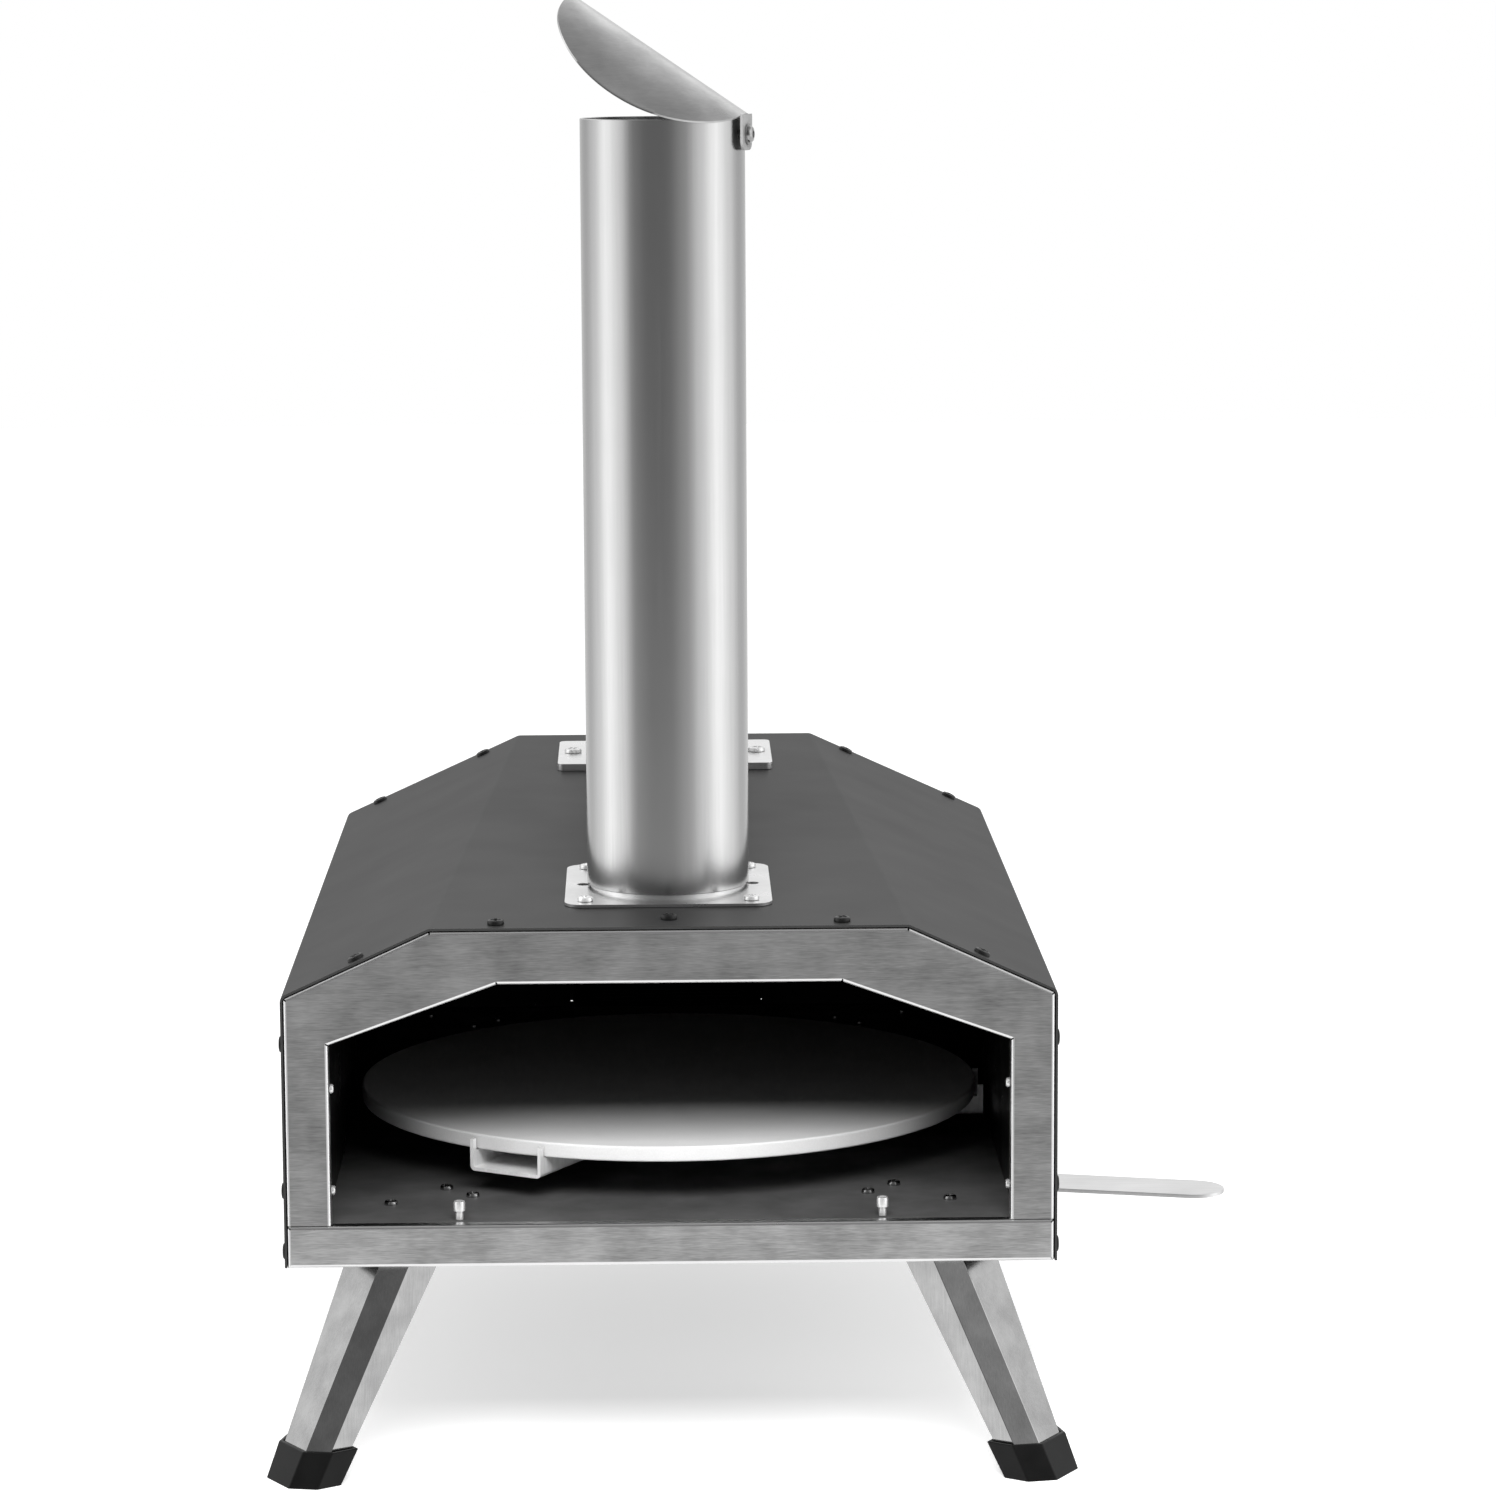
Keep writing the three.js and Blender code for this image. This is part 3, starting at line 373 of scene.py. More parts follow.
def soften(shape, width, segments=2, above=25):
    """Rounds every edge whose faces meet at more than the angle above."""
    least = math.radians(above)
    inner_edges = (e for e in shape.edges if len(e.link_faces) == 2)
    bmesh.ops.bevel(
        shape,
        geom=[e for e in inner_edges if e.calc_face_angle(0) > least],
        offset=width,
        segments=segments,
        profile=0.5,
        affect="EDGES",
        clamp_overlap=True,
    )
    return shape


def shape_of(node):
    """The CAD node's own solid, welded and free of needless edges, in oven millimetres."""
    shape = bmesh.new()
    shape.from_mesh(frame["nodes"][node].data)
    shape.transform(TO_OVEN)
    bmesh.ops.remove_doubles(shape, verts=shape.verts, dist=0.002)
    bmesh.ops.dissolve_limit(
        shape, angle_limit=math.radians(0.6), verts=shape.verts, edges=shape.edges, delimit=set()
    )
    return shape


def keep_node(node, material, width=0.35, segments=2, above=25):
    """The CAD shape with its sharp edges broken."""
    return for_node(node, soften(shape_of(node), width, segments, above), material)


def skin(shape, pairs):
    """Joins pairs of rings with faces; a ring of one point is a tip."""
    for lower, upper in pairs:
        count = max(len(lower), len(upper))
        for i in range(count):
            j = (i + 1) % count
            below = [lower[k % len(lower)] for k in (i, j)]
            over = [upper[k % len(upper)] for k in (j, i)]
            shape.faces.new(list(dict.fromkeys(below + over)))


def loft(shape, rings):
    """A solid through a row of rings of equal length."""
    rows = [[shape.verts.new(point) for point in ring] for ring in rings]
    skin(shape, zip(rows, rows[1:]))
    shape.faces.new(rows[0][::-1])
    shape.faces.new(rows[-1])


def circle(radius, count):
    """Points of a full circle about the origin."""
    turns = (2 * math.pi * i / count for i in range(count))
    return [(radius * math.cos(a), radius * math.sin(a)) for a in turns]


def lathe(profile, segments=48):
    """A solid of revolution about Z: the profile starts and ends on the axis, or goes round."""
    shape = bmesh.new()
    rows = []
    for radius, z in profile:
        ring = circle(radius, segments) if radius else [(0, 0)]
        rows.append([shape.verts.new((x, y, z)) for x, y in ring])
    pairs = list(zip(rows, rows[1:]))
    if profile[0][0]:
        pairs.append((rows[-1], rows[0]))
    skin(shape, pairs)
    return shape


def placed(shape, origin, up=UP, turn=0.0):
    """Moves a shape built round Z so that Z points along up and its origin is at origin."""
    tilt = UP.rotation_difference(Vector(up)).to_matrix().to_4x4()
    shape.transform(Matrix.Translation(origin) @ tilt @ Matrix.Rotation(turn, 4, "Z"))
    return shape


def merged(*shapes):
    """All the shapes as one bmesh."""
    whole = shapes[0]
    for extra in shapes[1:]:
        scratch = bpy.data.meshes.new("scratch")
        extra.to_mesh(scratch)
        extra.free()
        whole.from_mesh(scratch)
        bpy.data.meshes.remove(scratch)
    return whole


def arc(cx, cy, radius, start, end, steps):
    """Points of an arc, angles in degrees."""
    for i in range(steps + 1):
        angle = math.radians(start + (end - start) * i / steps)
        yield (cx + radius * math.cos(angle), cy + radius * math.sin(angle))


def arch_outline(arch, inset, y, bottom):
    """The house-shaped outline at depth y, inset by a wall, from the left foot to the right foot."""
    fold = inset * math.hypot(1, arch["slope"])
    side = arch["half"] - inset
    shoulder = arch["shoulder"] + arch["slope"] * inset - fold
    roof = arch["roof"] + ROOF_RISE * y / BODY_DEPTH - inset
    top = arch["half"] - (roof - arch["shoulder"] + fold) / arch["slope"]
    half = [(side, bottom), (side, shoulder), (top, roof)]
    return [Vector((-x, y, z)) for x, z in half] + [Vector((x, y, z)) for x, z in reversed(half)]


def chamfer_z(x):
    """Height of the casing's sloping shoulder."""
    return OUTER_ARCH["shoulder"] + OUTER_ARCH["slope"] * (OUTER_ARCH["half"] - abs(x))


def fold_profile(depth):
    """Section of a sheet folded back by 90 degrees: how far in from the fold, and how deep."""

    def bend(radius):
        return [
            (FOLD_RADIUS - radius * math.sin(a), FOLD_RADIUS - radius * math.cos(a))
            for a in FOLD_TURNS
        ]

    return bend(FOLD_RADIUS) + [(0, depth), (SHEET, depth)] + bend(FOLD_RADIUS - SHEET)[::-1]


def add_flaps(shape, outline_at, depth, count):
    """The folded edges of a panel: one flap a side, with a narrow slit at each corner."""
    profile = fold_profile(depth)
    ends = [outline_at(inset, y) for inset, y in profile]
    for side in range(count):
        rings = []
        for near, far, last in ((side, side + 1, side == 0), (side + 1, side, side == count - 1)):
            ring = []
            for (inset, _), outline in zip(profile, ends):
                point = Vector(outline[near % len(outline)])
                along = (Vector(outline[far % len(outline)]) - point).normalized()
                notch = 0 if last or inset >= FOLD_RADIUS - 1e-6 else FLAP_NOTCH
                ring.append(point + along * notch)
            rings.append(ring)
        known = set(shape.faces)
        loft(shape, rings)
        # the flaps take the second material, which paints a highlight on the folds
        for face in set(shape.faces) - known:
            face.material_index = 1


# ---------------------------------------------------------------- casing
def make_front_frame():
    bottom = FLOOR_Z + GAP
    margin = SHEET + GAP
    shape = bmesh.new()

    def outer(inset, y):
        return arch_outline(OUTER_ARCH, margin + inset, y, bottom)

    def mouth(inset, y):
        return arch_outline(MOUTH_ARCH, -inset, y, bottom)

    rows = []
    for y in (0, SHEET):
        rows.append([shape.verts.new(p) for p in outer(FOLD_RADIUS, y)])
        rows.append([shape.verts.new(p) for p in mouth(FOLD_RADIUS, y)])
    front_outer, front_mouth, back_outer, back_mouth = rows
    last = len(front_outer) - 1
    for i in range(last):
        for near, far in (
            (front_outer, front_mouth),
            (back_mouth, back_outer),
            (back_outer, front_outer),
            (front_mouth, back_mouth),
        ):
            shape.faces.new((near[i], near[i + 1], far[i + 1], far[i]))
    for i in (0, last):
        shape.faces.new((front_outer[i], front_mouth[i], back_mouth[i], back_outer[i]))
    depth_outer, depth_mouth = 12, 9
    add_flaps(shape, outer, depth_outer, last)
    add_flaps(shape, mouth, depth_mouth, last)
    for_node("front_frame", shape, FRAME_STEEL, second=EDGE_HIGHLIGHT_STEEL)


def make_front_rail():
    low, high = oven_box("front_rail")
    shape = bmesh.new()

    def outline(inset, y):
        left, right = low.x + inset, high.x - inset
        bottom, top = low.z + inset, high.z - inset
        corners = ((left, bottom), (left, top), (right, top), (right, bottom))
        return [Vector((x, y, z)) for x, z in corners]

    loft(shape, [outline(FOLD_RADIUS, 0), outline(FOLD_RADIUS, SHEET)])
    add_flaps(shape, outline, high.y, 4)
    for_node("front_rail", shape, RAIL_STEEL, second=EDGE_HIGHLIGHT_STEEL)


def round_folds(shape, outer_radius, shortest):
    """Gives the long folds of a sheet round bends: wide outside, tighter by the sheet inside."""
    least = math.radians(15)
    while True:
        folds = {}
        for edge in shape.edges:
            if edge.calc_length() < shortest or len(edge.link_faces) != 2:
                continue
            turn = edge.calc_face_angle_signed(0)
            if least < abs(turn) < math.radians(80):
                radius = outer_radius if turn > 0 else outer_radius - SHEET
                folds.setdefault(round(radius * math.tan(abs(turn) / 2), 2), []).append(edge)
        if not folds:
            return shape
        width, edges = folds.popitem()
        bmesh.ops.bevel(shape, geom=edges, offset=width, segments=6, profile=0.5, affect="EDGES")


def make_outer_shell():
    """The black casing: one sheet bent over the oven with round folds."""
    shape = round_folds(shape_of("outer_shell"), SHELL_FOLD_RADIUS, 40)
    for_node("outer_shell", soften(shape, 0.25, 2, 60), SHELL_PAINT)


def make_inside():
    keep_node("inner_liner", LINER_ENAMEL, 0.3)
    keep_node("floor_pan", FLOOR_ENAMEL, 0.3)
    keep_node("back_panel", SHELL_PAINT, 0.3)


def make_blanket():
    """The wool between the liner and the casing, with a soft, uneven surface."""
    shape = shape_of("insulation_blanket")
    bmesh.ops.triangulate(shape, faces=shape.faces)
    longest = 22
    for _ in range(4):
        long_edges = [e for e in shape.edges if e.calc_length() > longest]
        if not long_edges:
            break
        bmesh.ops.subdivide_edges(shape, edges=long_edges, cuts=1)
        bmesh.ops.triangulate(shape, faces=shape.faces)
    shape.normal_update()
    moves = [(v, v.normal * (-0.35 - 0.3 * noise.noise(v.co / 9))) for v in shape.verts]
    for vertex, move in moves:
        vertex.co += move
    for_node("insulation_blanket", shape, WOOL, sharp=70)


# ---------------------------------------------------------------- screws
def screw_head(radius, height):
    """A domed head on z = 0 with a cross recess pressed into it."""
    rings, segments = 11, 48
    arm = radius * 0.13
    reach = radius * 0.62
    shape = bmesh.new()

    def surface(x, y):
        share = math.hypot(x, y) / radius
        dome = height * (0.55 + 0.45 * math.sqrt(max(0, 1 - share**2.6)))
        near = min(abs(x), abs(y))
        far = max(abs(x), abs(y))
        across = min(1, max(0, (arm * 1.5 - near) / (arm * 0.9)))
        along = min(1, max(0, (reach - far) / (radius * 0.16)))
        return dome - height * 0.55 * across * along

    rows = [[shape.verts.new((0, 0, surface(0, 0)))]]
    for ring in range(1, rings + 1):
        points = circle(radius * ring / rings, segments)
        heights = [surface(x, y) if ring < rings else height * 0.4 for x, y in points]
        rows.append([shape.verts.new((x, y, z)) for (x, y), z in zip(points, heights)])
    rows.append([shape.verts.new((x, y, 0)) for x, y in circle(radius, segments)])
    skin(shape, zip(rows, rows[1:]))
    shape.faces.new(rows[-1])
    return shape


def side_sign(node):
    return -1 if "left" in node else 1


def make_cad_screws():
    black = {"radius": 4.2, "height": 2.4, "material": SCREW_PAINT}
    silver = {"radius": 4.0, "height": 2.2, "material": SCREW_STEEL}
    large = {"radius": 5.0, "height": 2.4, "material": SCREW_STEEL}
    for node in sorted(frame["nodes"]):
        if "screw" not in node or node == "cap_screw":
            continue
        if node.startswith(("roof", "chamfer")):
            kind = black
        else:
            kind = silver if "flange" in node else large
        up = ROOF_NORMAL
        if node.startswith("chamfer"):
            up = Vector((side_sign(node) * math.sin(CHAMFER_ANGLE), 0, math.cos(CHAMFER_ANGLE)))
        foot = oven_centre(node) - up * (kind["height"] / 2)
        turn = 0.5 + oven_centre(node).x * 0.7
        head = placed(screw_head(kind["radius"], kind["height"]), foot, up, turn)
        for_node(node, head, kind["material"])


def make_small_screws():
    """Fasteners too small to be parts of their own: they ride on the oven's body."""
    tip_profile = [(0, 0), (3.2, 0), (3.2, 1.6), (2.4, 2.2), (2.4, 3.4), (1.9, 4), (0, 4.1)]
    for side, word in ((-1, "left"), (1, "right")):
        out = Vector((side, 0, 0))
        for number, z in enumerate(SIDE_SCREW_HEIGHTS):
            for y, place in ((EDGE_SCREW_Y, "front"), (REAR_SCREW_Y, "rear")):
                head = placed(screw_head(4.2, 2.0), (side * HALF_WIDTH, y, z), out, number + y)
                name = f"side_screw_{word}_{place}_{number}"
                piece(name, head, SCREW_PAINT, "oven_body", "black_paint")
        slope = Vector((side * math.sin(CHAMFER_ANGLE), 0, math.cos(CHAMFER_ANGLE)))
        for number, x in enumerate(REAR_SCREW_PLACES):
            foot = (side * x, REAR_SCREW_Y, chamfer_z(x))
            head = placed(screw_head(4.2, 2.2), foot, slope, number)
            piece(f"rear_screw_{word}_{number}", head, SCREW_PAINT, "oven_body", "black_paint")
        for number, z in enumerate(JAMB_SCREW_HEIGHTS):
            foot = (side * (MOUTH_ARCH["half"] + 2.6), EDGE_SCREW_Y, z)
            tip = placed(lathe(tip_profile, 24), foot, -out)
            piece(f"jamb_screw_tip_{word}_{number}", tip, SCREW_STEEL, "oven_body", "plain_steel")
    for side, word in ((-1, "left"), (1, "right")):
        for at_rear, place in ((False, "front"), (True, "rear")):
            for number, (x, y) in enumerate(BRACKET_SCREW_PLACES):
                depth = BODY_DEPTH - y if at_rear else y
                head = placed(screw_head(3.4, 2.4), (side * x, depth, FLOOR_Z), UP, number * 0.8)
                name = f"bracket_screw_{place}_{word}_{number}"
                piece(name, head, DULL_SCREW_STEEL, "oven_body", "plain_steel")


def make_door_stops():
    profile = [(0, 0), (2, 0), (2, 4.2), (2.8, 4.4), (3, 4.7), (3, 8.6), (2.7, 9.3), (2.1, 9.6)]
    profile += [(1.5, 9.5), (1.3, 7.6), (0, 7.4)]
    for node in ("door_stop_left", "door_stop_right"):
        foot = oven_centre(node)
        foot.z = oven_box(node)[0].z
        for_node(node, placed(lathe(profile, 36), foot), SCREW_STEEL)


# ---------------------------------------------------------------- chimney
def make_chimney():
    """The tube, its raised seam at the back, and the plate it stands on."""
    y = CHIMNEY["y"]
    outer, inner = CHIMNEY["radius"], CHIMNEY["radius"] - CHIMNEY["wall"]
    bottom, top = CHIMNEY["bottom"], CHIMNEY["top"]
    bands = 12
    step = (top - bottom) / bands
    sides = [bottom + 0.3] + [bottom + step * i for i in range(1, bands)] + [top - 0.35]
    profile = [(outer - 0.3, bottom)] + [(outer, z) for z in sides]
    profile += [(outer - 0.3, top), (inner + 0.3, top), (inner, top - 0.35), (inner, bottom)]
    for_node("chimney_tube", placed(lathe(profile, 160), (0, y, 0)), TUBE_STEEL)

    seam = bmesh.new()
    half, height = 2.2, 0.35
    rings = []
    for z in (bottom + 1, top - 1):
        near, crest, far = (
            (outer * math.sin(a), outer * math.cos(a)) for a in (-half / outer, 0, half / outer)
        )
        raised = (crest[0], crest[1] + height)
        rings.append([(x, y + v, z) for x, v in (near, raised, far, (0, outer - 0.5))])
    loft(seam, rings)
    piece("chimney_seam", seam, TUBE_STEEL, "oven_body", "brushed_steel")
    keep_node("chimney_flange", BRIGHT_STEEL, 0.35)


def cap_section(across):
    """Offset, height and slope of the cap's sheet, at a distance along it from the ridge."""
    steps = 24
    angle, x, z = 0.0, 0.0, 0.0
    length = abs(across) / steps
    for i in range(steps):
        s = (i + 0.5) * length
        crease = math.radians(9.5) * math.tanh(s / 5)
        roll = math.radians(36) * (s / CAP["half_width"]) ** 1.3
        angle = crease + roll
        x += length * math.cos(angle)
        z -= length * math.sin(angle)
    return math.copysign(x, across), z, angle


def make_cap():
    """The leaf-shaped rain cap with its tab, and the screw and nut that hold it."""
    stations, steps = 64, 40
    power = CAP["power"]
    first = math.asin((CAP["tab_width"] / 2 / CAP["half_width"]) ** (1 / power))
    last = math.pi - 0.03
    grid = {}
    shape = bmesh.new()
    for side in (1, -1):
        for i in range(stations + 1):
            angle = first + (last - first) * i / stations
            along = CAP["length"] / 2 * (1 - math.cos(angle))
            width = CAP["half_width"] * math.sin(angle) ** power
            for j in range(steps + 1):
                across = width * (2 * j / steps - 1)
                y, z, slope = cap_section(across)
                lift = side * SHEET / 2
                y += math.copysign(math.sin(slope) * lift, across)
                z += math.cos(slope) * lift
                grid[side, i, j] = shape.verts.new((-along, y, z))

    def quad(*corners):
        shape.faces.new([grid[c] for c in corners])

    for i in range(stations):
        for j in range(steps):
            for side in (1, -1):
                quad((side, i, j), (side, i + 1, j), (side, i + 1, j + 1), (side, i, j + 1))
        for j in (0, steps):
            quad((1, i, j), (1, i + 1, j), (-1, i + 1, j), (-1, i, j))
    for j in range(steps):
        for i in (0, stations):
            quad((1, i, j), (1, i, j + 1), (-1, i, j + 1), (-1, i, j))
    hinge_line = Matrix.Translation((CAP["tab_radius"], 0, CAP_BEND_Z))
    shape.transform(hinge_line @ Matrix.Rotation(CAP_TILT, 4, "Y"))

    half, corner, drop = CAP["tab_width"] / 2, 5, 17.5
    lower = list(arc(-half + corner, -drop + corner, corner, 180, 270, 8))
    lower += list(arc(half - corner, -drop + corner, corner, -90, 0, 8))
    outline = [(-half, 0.4)] + lower + [(half, 0.4)]
    tab = bmesh.new()
    x0 = CAP["tab_radius"] - SHEET / 2
    loft(tab, [[(x, a, CAP_BEND_Z + b) for a, b in outline] for x in (x0, x0 + SHEET)])
    soften(tab, 0.25, 2, 60)
    # the tab's faces take the second material, whose tone is painted light
    for face in tab.faces:
        face.material_index = 1
    whole = merged(shape, tab)
    axis = Matrix.Translation((0, CHIMNEY["y"], 0))
    whole.transform(axis @ Matrix.Rotation(CAP_AZIMUTH, 4, "Z"))
    for_node("chimney_cap", whole, CAP_STEEL, sharp=50, second=TAB_STEEL)

    out = Vector((math.cos(CAP_AZIMUTH), math.sin(CAP_AZIMUTH), 0))
    middle = Vector((0, CHIMNEY["y"], CHIMNEY["top"] - CAP_SCREW_DROP))
    face = middle + out * (CAP["tab_radius"] + SHEET / 2 + GAP)
    washer = [(2.6, 0), (5.3, 0), (5.3, 0.7), (2.6, 0.7)]
    head = [(0, 0.7), (4.3, 0.7), (4.3, 1.5), (3.6, 2.4)]
    head += [(2.2, 2.9), (1.6, 2.95), (1.4, 1.6), (0, 1.6)]
    shank = [(0, -8.6), (2.5, -8.6), (2.5, 0.1), (0, 0.1)]
    parts = [placed(lathe(p, 36), face, out) for p in (head, washer, shank)]
    for_node("cap_screw", merged(*parts), DULL_SCREW_STEEL)
    keep_node("cap_nut", SCREW_STEEL, 0.3)


# ---------------------------------------------------------------- hopper, burner drawer
def make_hopper():
    keep_node("hopper_flange", BRIGHT_STEEL, 0.5)
    keep_node("hopper_body", CHUTE_STEEL, 0.4)
    keep_node("hopper_lid", FRAME_STEEL, 0.5)
    keep_node("hopper_lid_pin", PLAIN_STEEL, 0.3)
    low, high = oven_box("hopper_lid_knob")
    height = high.z - low.z
    stem = [(0, 0), (8.6, 0), (9, 0.5), (8.2, 1.6), (7.2, 3), (6.5, 5.5), (6.4, 8), (7.4, 10)]
    crown = [(9.5, 12), (11.3, 14.5), (12, 17), (11.8, 19.5)]
    crown += [(10.6, 21.8), (8.4, 23.6), (4.6, 24.7), (0, height)]
    centre = oven_centre("hopper_lid_knob")
    knob = placed(lathe(stem + crown, 48), (centre.x, centre.y, low.z))
    for_node("hopper_lid_knob", knob, PLASTIC)


def make_handle():
    """The drawer's bent rod handle, with a foot at each end."""
    low, high = oven_box("burner_handle")
    radius = (high.z - low.z) / 2
    half = (high.x - low.x) / 2 - radius
    z = (high.z + low.z) / 2
    out = high.y - radius
    bend, sides = 10, 20
    path = [Vector((-half, low.y, z))]
    path += [Vector((x, y, z)) for x, y in arc(-half + bend, out - bend, bend, 180, 90, 12)]
    path += [Vector((x, y, z)) for x, y in arc(half - bend, out - bend, bend, 90, 0, 12)]
    path += [Vector((half, low.y, z))]
    rings = []
    for i, point in enumerate(path):
        before, after = path[max(i - 1, 0)], path[min(i + 1, len(path) - 1)]
        along = (after - before).normalized()
        side = along.cross(UP).normalized()
        turns = [2 * math.pi * k / sides for k in range(sides)]
        rings.append(
            [point + side * radius * math.cos(a) + UP * radius * math.sin(a) for a in turns]
        )
    shape = bmesh.new()
    loft(shape, rings)
    for_node("burner_handle", shape, PLASTIC)


def make_drawer():
    door = shape_of("burner_door")
    middle_z = oven_centre("burner_door").z
    for vertex in door.verts:
        if vertex.co.z < middle_z:
            vertex.co.z -= DOOR_OVERLAP
    soften(door, 0.4)
    for_node("burner_door", door, DRAWER_STEEL)
    keep_node("burner_tray", DRAWER_STEEL, 0.35)
    keep_node("fire_grate", DRAWER_STEEL, 0.35)
    make_handle()


# ---------------------------------------------------------------- turntable
def make_stone():
    low, high = oven_box("pizza_stone")
    radius, thick = STONE["radius"], high.z - low.z
    ease = 1.1
    edge = [(radius - ease + x, z) for x, z in arc(0, ease, ease, -90, 0, 4)]
    edge += [(radius - ease + x, z) for x, z in arc(0, thick - ease, ease, 0, 90, 4)]
    flats = [radius * share for share in (0.3, 0.6, 0.85)]
    profile = [(0, 0)] + [(r, 0) for r in flats] + edge
    profile += [(r, thick) for r in flats[::-1]] + [(0, thick)]
    for_node("pizza_stone", placed(lathe(profile, 192), (0, STONE["y"], low.z)), STONE_LOOK)


def channel_outline(width, height, sheet, bend):
    """A U section, open at the top, with round bottom corners: points across and up."""
    half = width / 2
    outer = [(-half, height)] + list(arc(-half + bend, bend, bend, 180, 270, 6))
    outer += list(arc(half - bend, bend, bend, -90, 0, 6)) + [(half, height)]
    tight = bend - sheet
    inner = [(half - sheet, height)] + list(arc(half - bend, bend, tight, 0, -90, 6))
    inner += list(arc(-half + bend, bend, tight, -90, -180, 6)) + [(-half + sheet, height)]
    return outer + inner


def make_carrier():
    """Three folded channels from the hub; each ends in two prongs that hold the stone's edge."""
    low, high = oven_box("stone_carrier")
    prong_rise = 6.3
    height = high.z - low.z - prong_rise
    width, sheet, bend = CARRIER["width"], CARRIER["sheet"], CARRIER["bend"]
    start = CARRIER["reach"] - CARRIER["prong"]
    arm_root, hub_rim = 30, 34
    arms = []
    for number in range(3):
        shape = bmesh.new()
        flat = channel_outline(width, height, sheet, bend)
        loft(shape, [[(x, a, b) for a, b in flat] for x in (arm_root, start)])
        tall = channel_outline(width, height + prong_rise, sheet, bend)
        loft(shape, [[(x, a, b) for a, b in tall] for x in (start, CARRIER["reach"])])
        soften(shape, 0.3, 1, 60)
        shape.transform(Matrix.Rotation(2 * math.pi * number / 3, 4, "Z"))
        arms.append(shape)
    hub = lathe([(4.4, 0), (hub_rim, 0), (hub_rim, sheet), (4.4, sheet)], 72)
    whole = merged(hub, *arms)
    for_node("stone_carrier", placed(whole, (0, STONE["y"], low.z)), CARRIER_STEEL)


def make_turntable():
    make_stone()
    make_carrier()
    keep_node("turn_lever", LEVER_STEEL, 0.4)
    for node in ("turntable_shaft", "hub_nut", "lever_nut", "shaft_bush"):
        keep_node(node, PLAIN_STEEL, 0.3)


# ---------------------------------------------------------------- legs
def make_legs():
    for corner in ("front_left", "front_right", "rear_left", "rear_right"):
        keep_node(f"leg_{corner}", LEG_STEEL, 0.6, 3, 20)
        keep_node(f"foot_{corner}", PLASTIC, 0.7, 3, 20)
        keep_node(f"leg_bracket_{corner}", PLAIN_STEEL, 0.3)
        keep_node(f"leg_pin_{corner}", SCREW_STEEL, 0.35)


# ---------------------------------------------------------------- stage, light and camera
def make_floor():
    """A pale, matt studio floor, 12 m across."""
    shape = bmesh.new()
    bmesh.ops.create_grid(shape, x_segments=1, y_segments=1, size=6)
    mesh = bpy.data.meshes.new("studio_floor")
    shape.to_mesh(mesh)
    shape.free()
    floor = bpy.data.objects.new("studio_floor", mesh)
    bpy.context.scene.collection.objects.link(floor)
    pale = Material("pale_floor", specular=0.0)
    pale.tone(pale.noise(3, 2), grey(0.9), grey(0.93))
    pale.roughness(0.9)
    pale.shader.inputs["Emission Color"].default_value = (1, 1, 1, 1)
    pale.shader.inputs["Emission Strength"].default_value = 0.45
    mesh.materials.append(pale.data)
    floor.visible_glossy = False


def ramp(tree, factor, stops):
    """A smooth curve of grey levels through (position, level) stops."""
    made = tree.nodes.new("ShaderNodeValToRGB")
    made.color_ramp.interpolation = "EASE"
    elements = made.color_ramp.elements
    while len(elements) < len(stops):
        elements.new(0.5)
    for element, (position, value) in zip(elements, stops):
        element.position = position
        element.color = (value, value, value, 1)
    tree.links.new(factor, made.inputs[0])
    return made.outputs[0]


# Brightness round the horizon, in degrees from the side the oven faces.
STUDIO_PANELS = (
    (-180, 0.45),
    (-137, 0.32),
    (-112, 0.5),
    (-88, 0.86),
    (-66, 0.6),
    (-42, 0.13),
    (-20, 0.08),
    (5, 0.085),
    (30, 0.2),
    (52, 0.5),
    (80, 0.88),
    (103, 0.6),
    (130, 0.32),
    (180, 0.45),
)


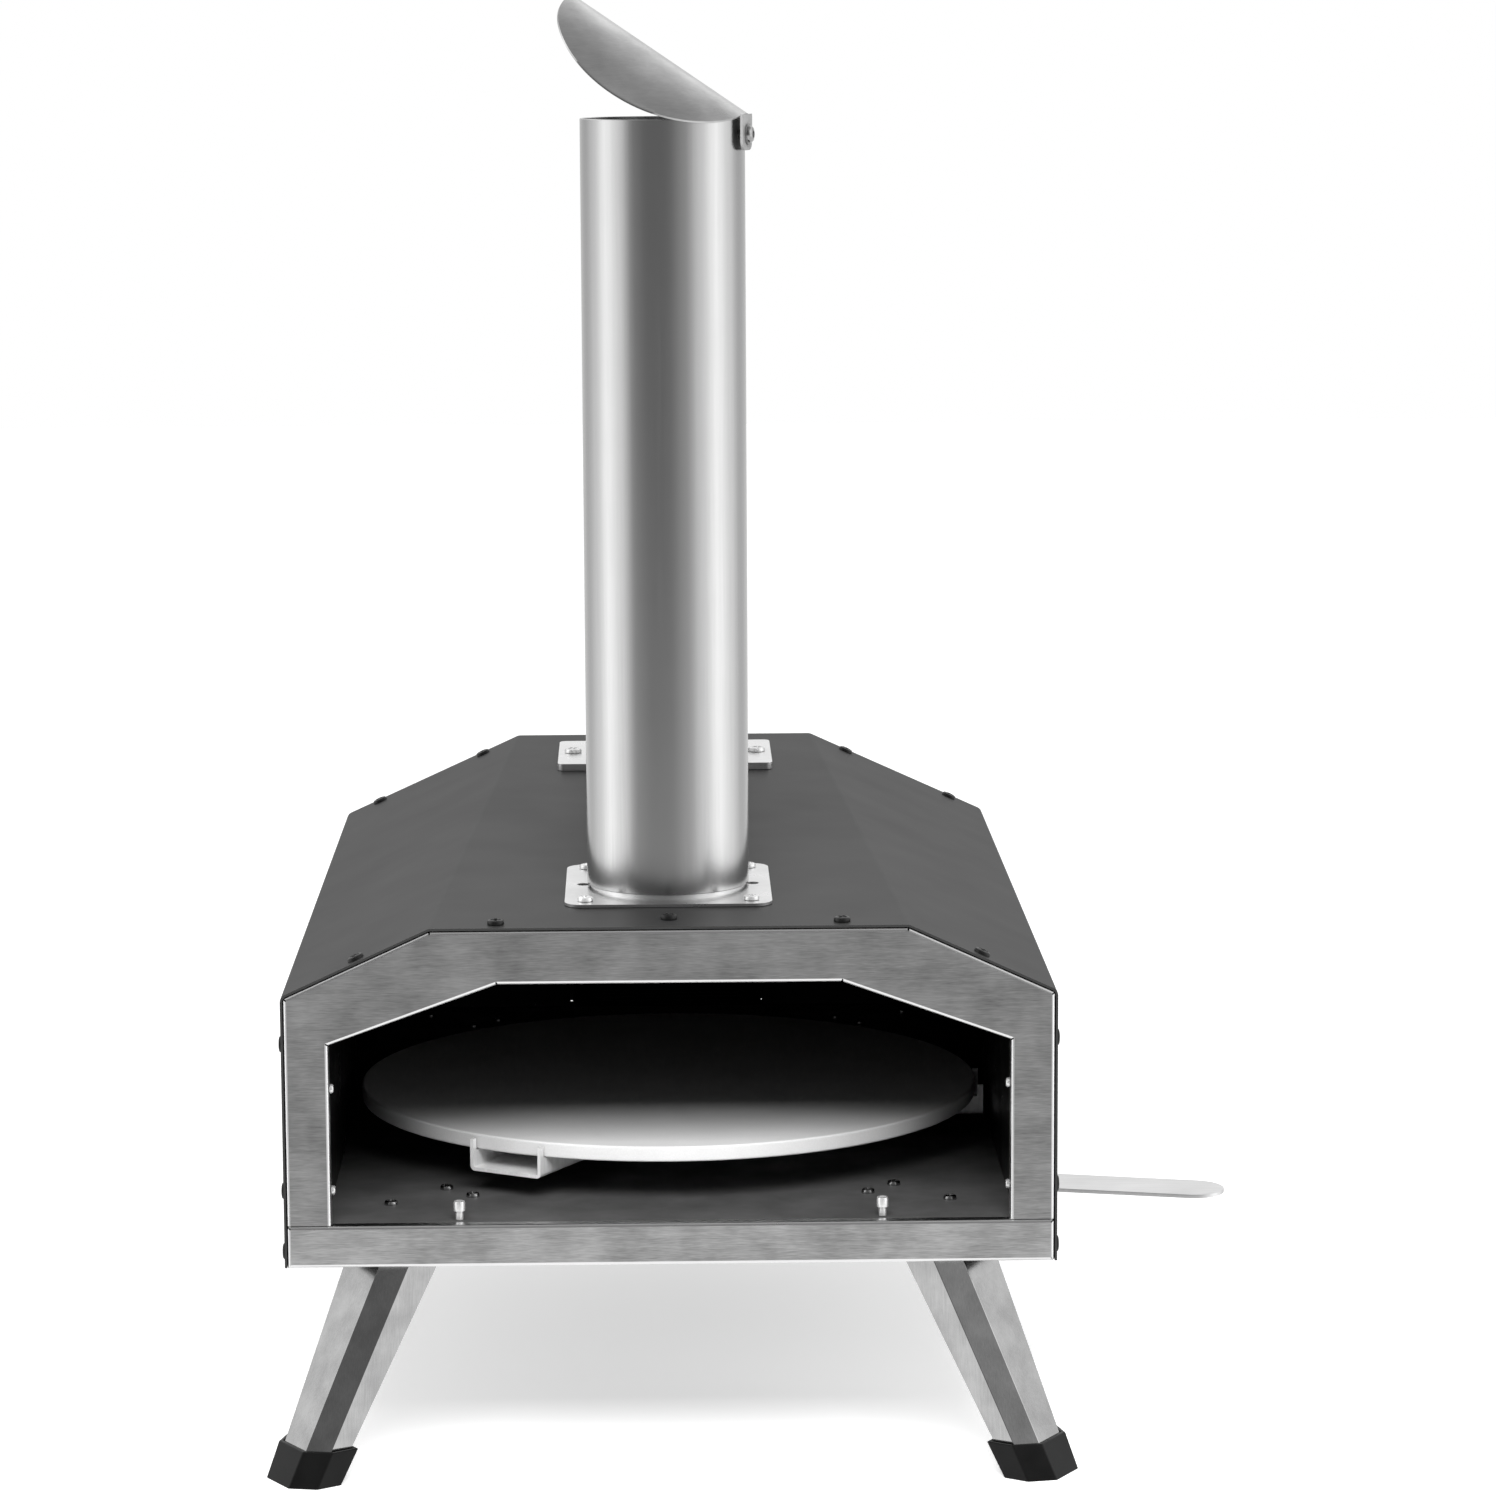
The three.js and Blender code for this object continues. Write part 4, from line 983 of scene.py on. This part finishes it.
def make_world():
    """A studio: tall soft panels left and right, a dark room in front, a white backdrop."""
    world = bpy.data.worlds.new("studio")
    bpy.context.scene.world = world
    world.use_nodes = True
    tree = world.node_tree
    background = tree.nodes["Background"]

    def math_node(operation, *values):
        made = tree.nodes.new("ShaderNodeMath")
        made.operation = operation
        for socket, value in zip(made.inputs, values):
            if isinstance(value, bpy.types.NodeSocket):
                tree.links.new(value, socket)
            else:
                socket.default_value = value
        return made.outputs[0]

    direction = tree.nodes.new("ShaderNodeTexCoord").outputs["Generated"]
    parts = tree.nodes.new("ShaderNodeSeparateXYZ")
    tree.links.new(direction, parts.inputs[0])
    azimuth = math_node("ARCTAN2", parts.outputs[0], math_node("MULTIPLY", parts.outputs[1], -1.0))
    around = math_node("MULTIPLY_ADD", azimuth, 0.5 / math.pi, 0.5)
    low_band = ramp(tree, around, [((a + 180) / 360, value) for a, value in STUDIO_PANELS])
    height = math_node("MULTIPLY_ADD", parts.outputs[2], 0.5, 0.5)
    haze = ramp(tree, height, ((0.4, 1), (0.53, 0.8), (0.59, 1), (1.0, 1)))
    low_band = math_node("MULTIPLY", low_band, haze)
    below = ramp(tree, height, ((0.0, 1), (0.3, 1), (0.44, 0)))
    side_stops = ((0.0, 1), (0.3, 1), (0.4, 0), (0.57, 0), (0.68, 1), (1.0, 1))
    sides = ramp(tree, around, side_stops)
    raised = math_node("MULTIPLY", sides, ramp(tree, height, ((0.66, 0), (0.8, 1))))
    top = ramp(tree, height, ((0.88, 0), (0.97, 1)))
    cover = math_node("MAXIMUM", math_node("MAXIMUM", below, raised), top)
    sky_stops = ((0.0, 0.5), (0.5, 0.5), (0.72, 0.75), (0.88, 0.34), (0.97, 0.19), (1.0, 0.16))
    above = ramp(tree, height, sky_stops)
    mixed = tree.nodes.new("ShaderNodeMix")
    mixed.data_type = "RGBA"
    tree.links.new(cover, mixed.inputs[0])
    tree.links.new(low_band, mixed.inputs[6])
    tree.links.new(above, mixed.inputs[7])
    tree.links.new(mixed.outputs[2], background.inputs["Color"])
    background.inputs["Strength"].default_value = 2.0

    backdrop = tree.nodes.new("ShaderNodeBackground")
    backdrop.inputs["Color"].default_value = (1, 1, 1, 1)
    seen = tree.nodes.new("ShaderNodeLightPath").outputs["Is Camera Ray"]
    choose = tree.nodes.new("ShaderNodeMixShader")
    tree.links.new(seen, choose.inputs[0])
    tree.links.new(background.outputs[0], choose.inputs[1])
    tree.links.new(backdrop.outputs[0], choose.inputs[2])
    tree.links.new(choose.outputs[0], tree.nodes["World Output"].inputs["Surface"])


def make_lights():
    """A long soft box above the front edge, which reaches the front of the stone."""
    light = bpy.data.lights.new("front_soft_box", "AREA")
    light.shape = "RECTANGLE"
    light.size = 1.4
    light.size_y = 0.85
    light.energy = 50
    box = bpy.data.objects.new("front_soft_box", light)
    target = TO_ROW @ Vector((0, 0, 200))
    box.location = TO_ROW @ Vector((0, -1120, 1480))
    box.rotation_euler = (target - box.location).to_track_quat("-Z", "Y").to_euler()
    box.visible_glossy = False
    bpy.context.scene.collection.objects.link(box)


def make_camera():
    """Stands in front of the mouth, a little left of the middle, and looks slightly down."""
    data = bpy.data.cameras.new("camera")
    data.sensor_width = 36
    data.lens = 115.8
    data.clip_end = 50
    camera = bpy.data.objects.new("camera", data)
    yaw, pitch, roll = math.radians(1.18), math.radians(8.69), math.radians(-0.29)
    flat = math.cos(pitch)
    forward = Vector((math.sin(yaw) * flat, math.cos(yaw) * flat, -math.sin(pitch)))
    right = Vector((math.cos(yaw), -math.sin(yaw), 0))
    up = right.cross(forward)
    level = Matrix((right, up, -forward)).transposed()
    place = TO_ROW @ Vector((-8.7, -2338.7, 730))
    rolled = level @ Matrix.Rotation(roll, 3, "Z")
    camera.matrix_world = Matrix.Translation(place) @ rolled.to_4x4()
    bpy.context.scene.collection.objects.link(camera)
    bpy.context.scene.camera = camera
    bpy.context.scene.view_settings.view_transform = "Standard"


make_front_frame()
make_front_rail()
make_outer_shell()
make_inside()
make_blanket()
make_cad_screws()
make_small_screws()
make_door_stops()
make_chimney()
make_cap()
make_hopper()
make_drawer()
make_turntable()
make_legs()
make_floor()
make_world()
make_lights()
make_camera()
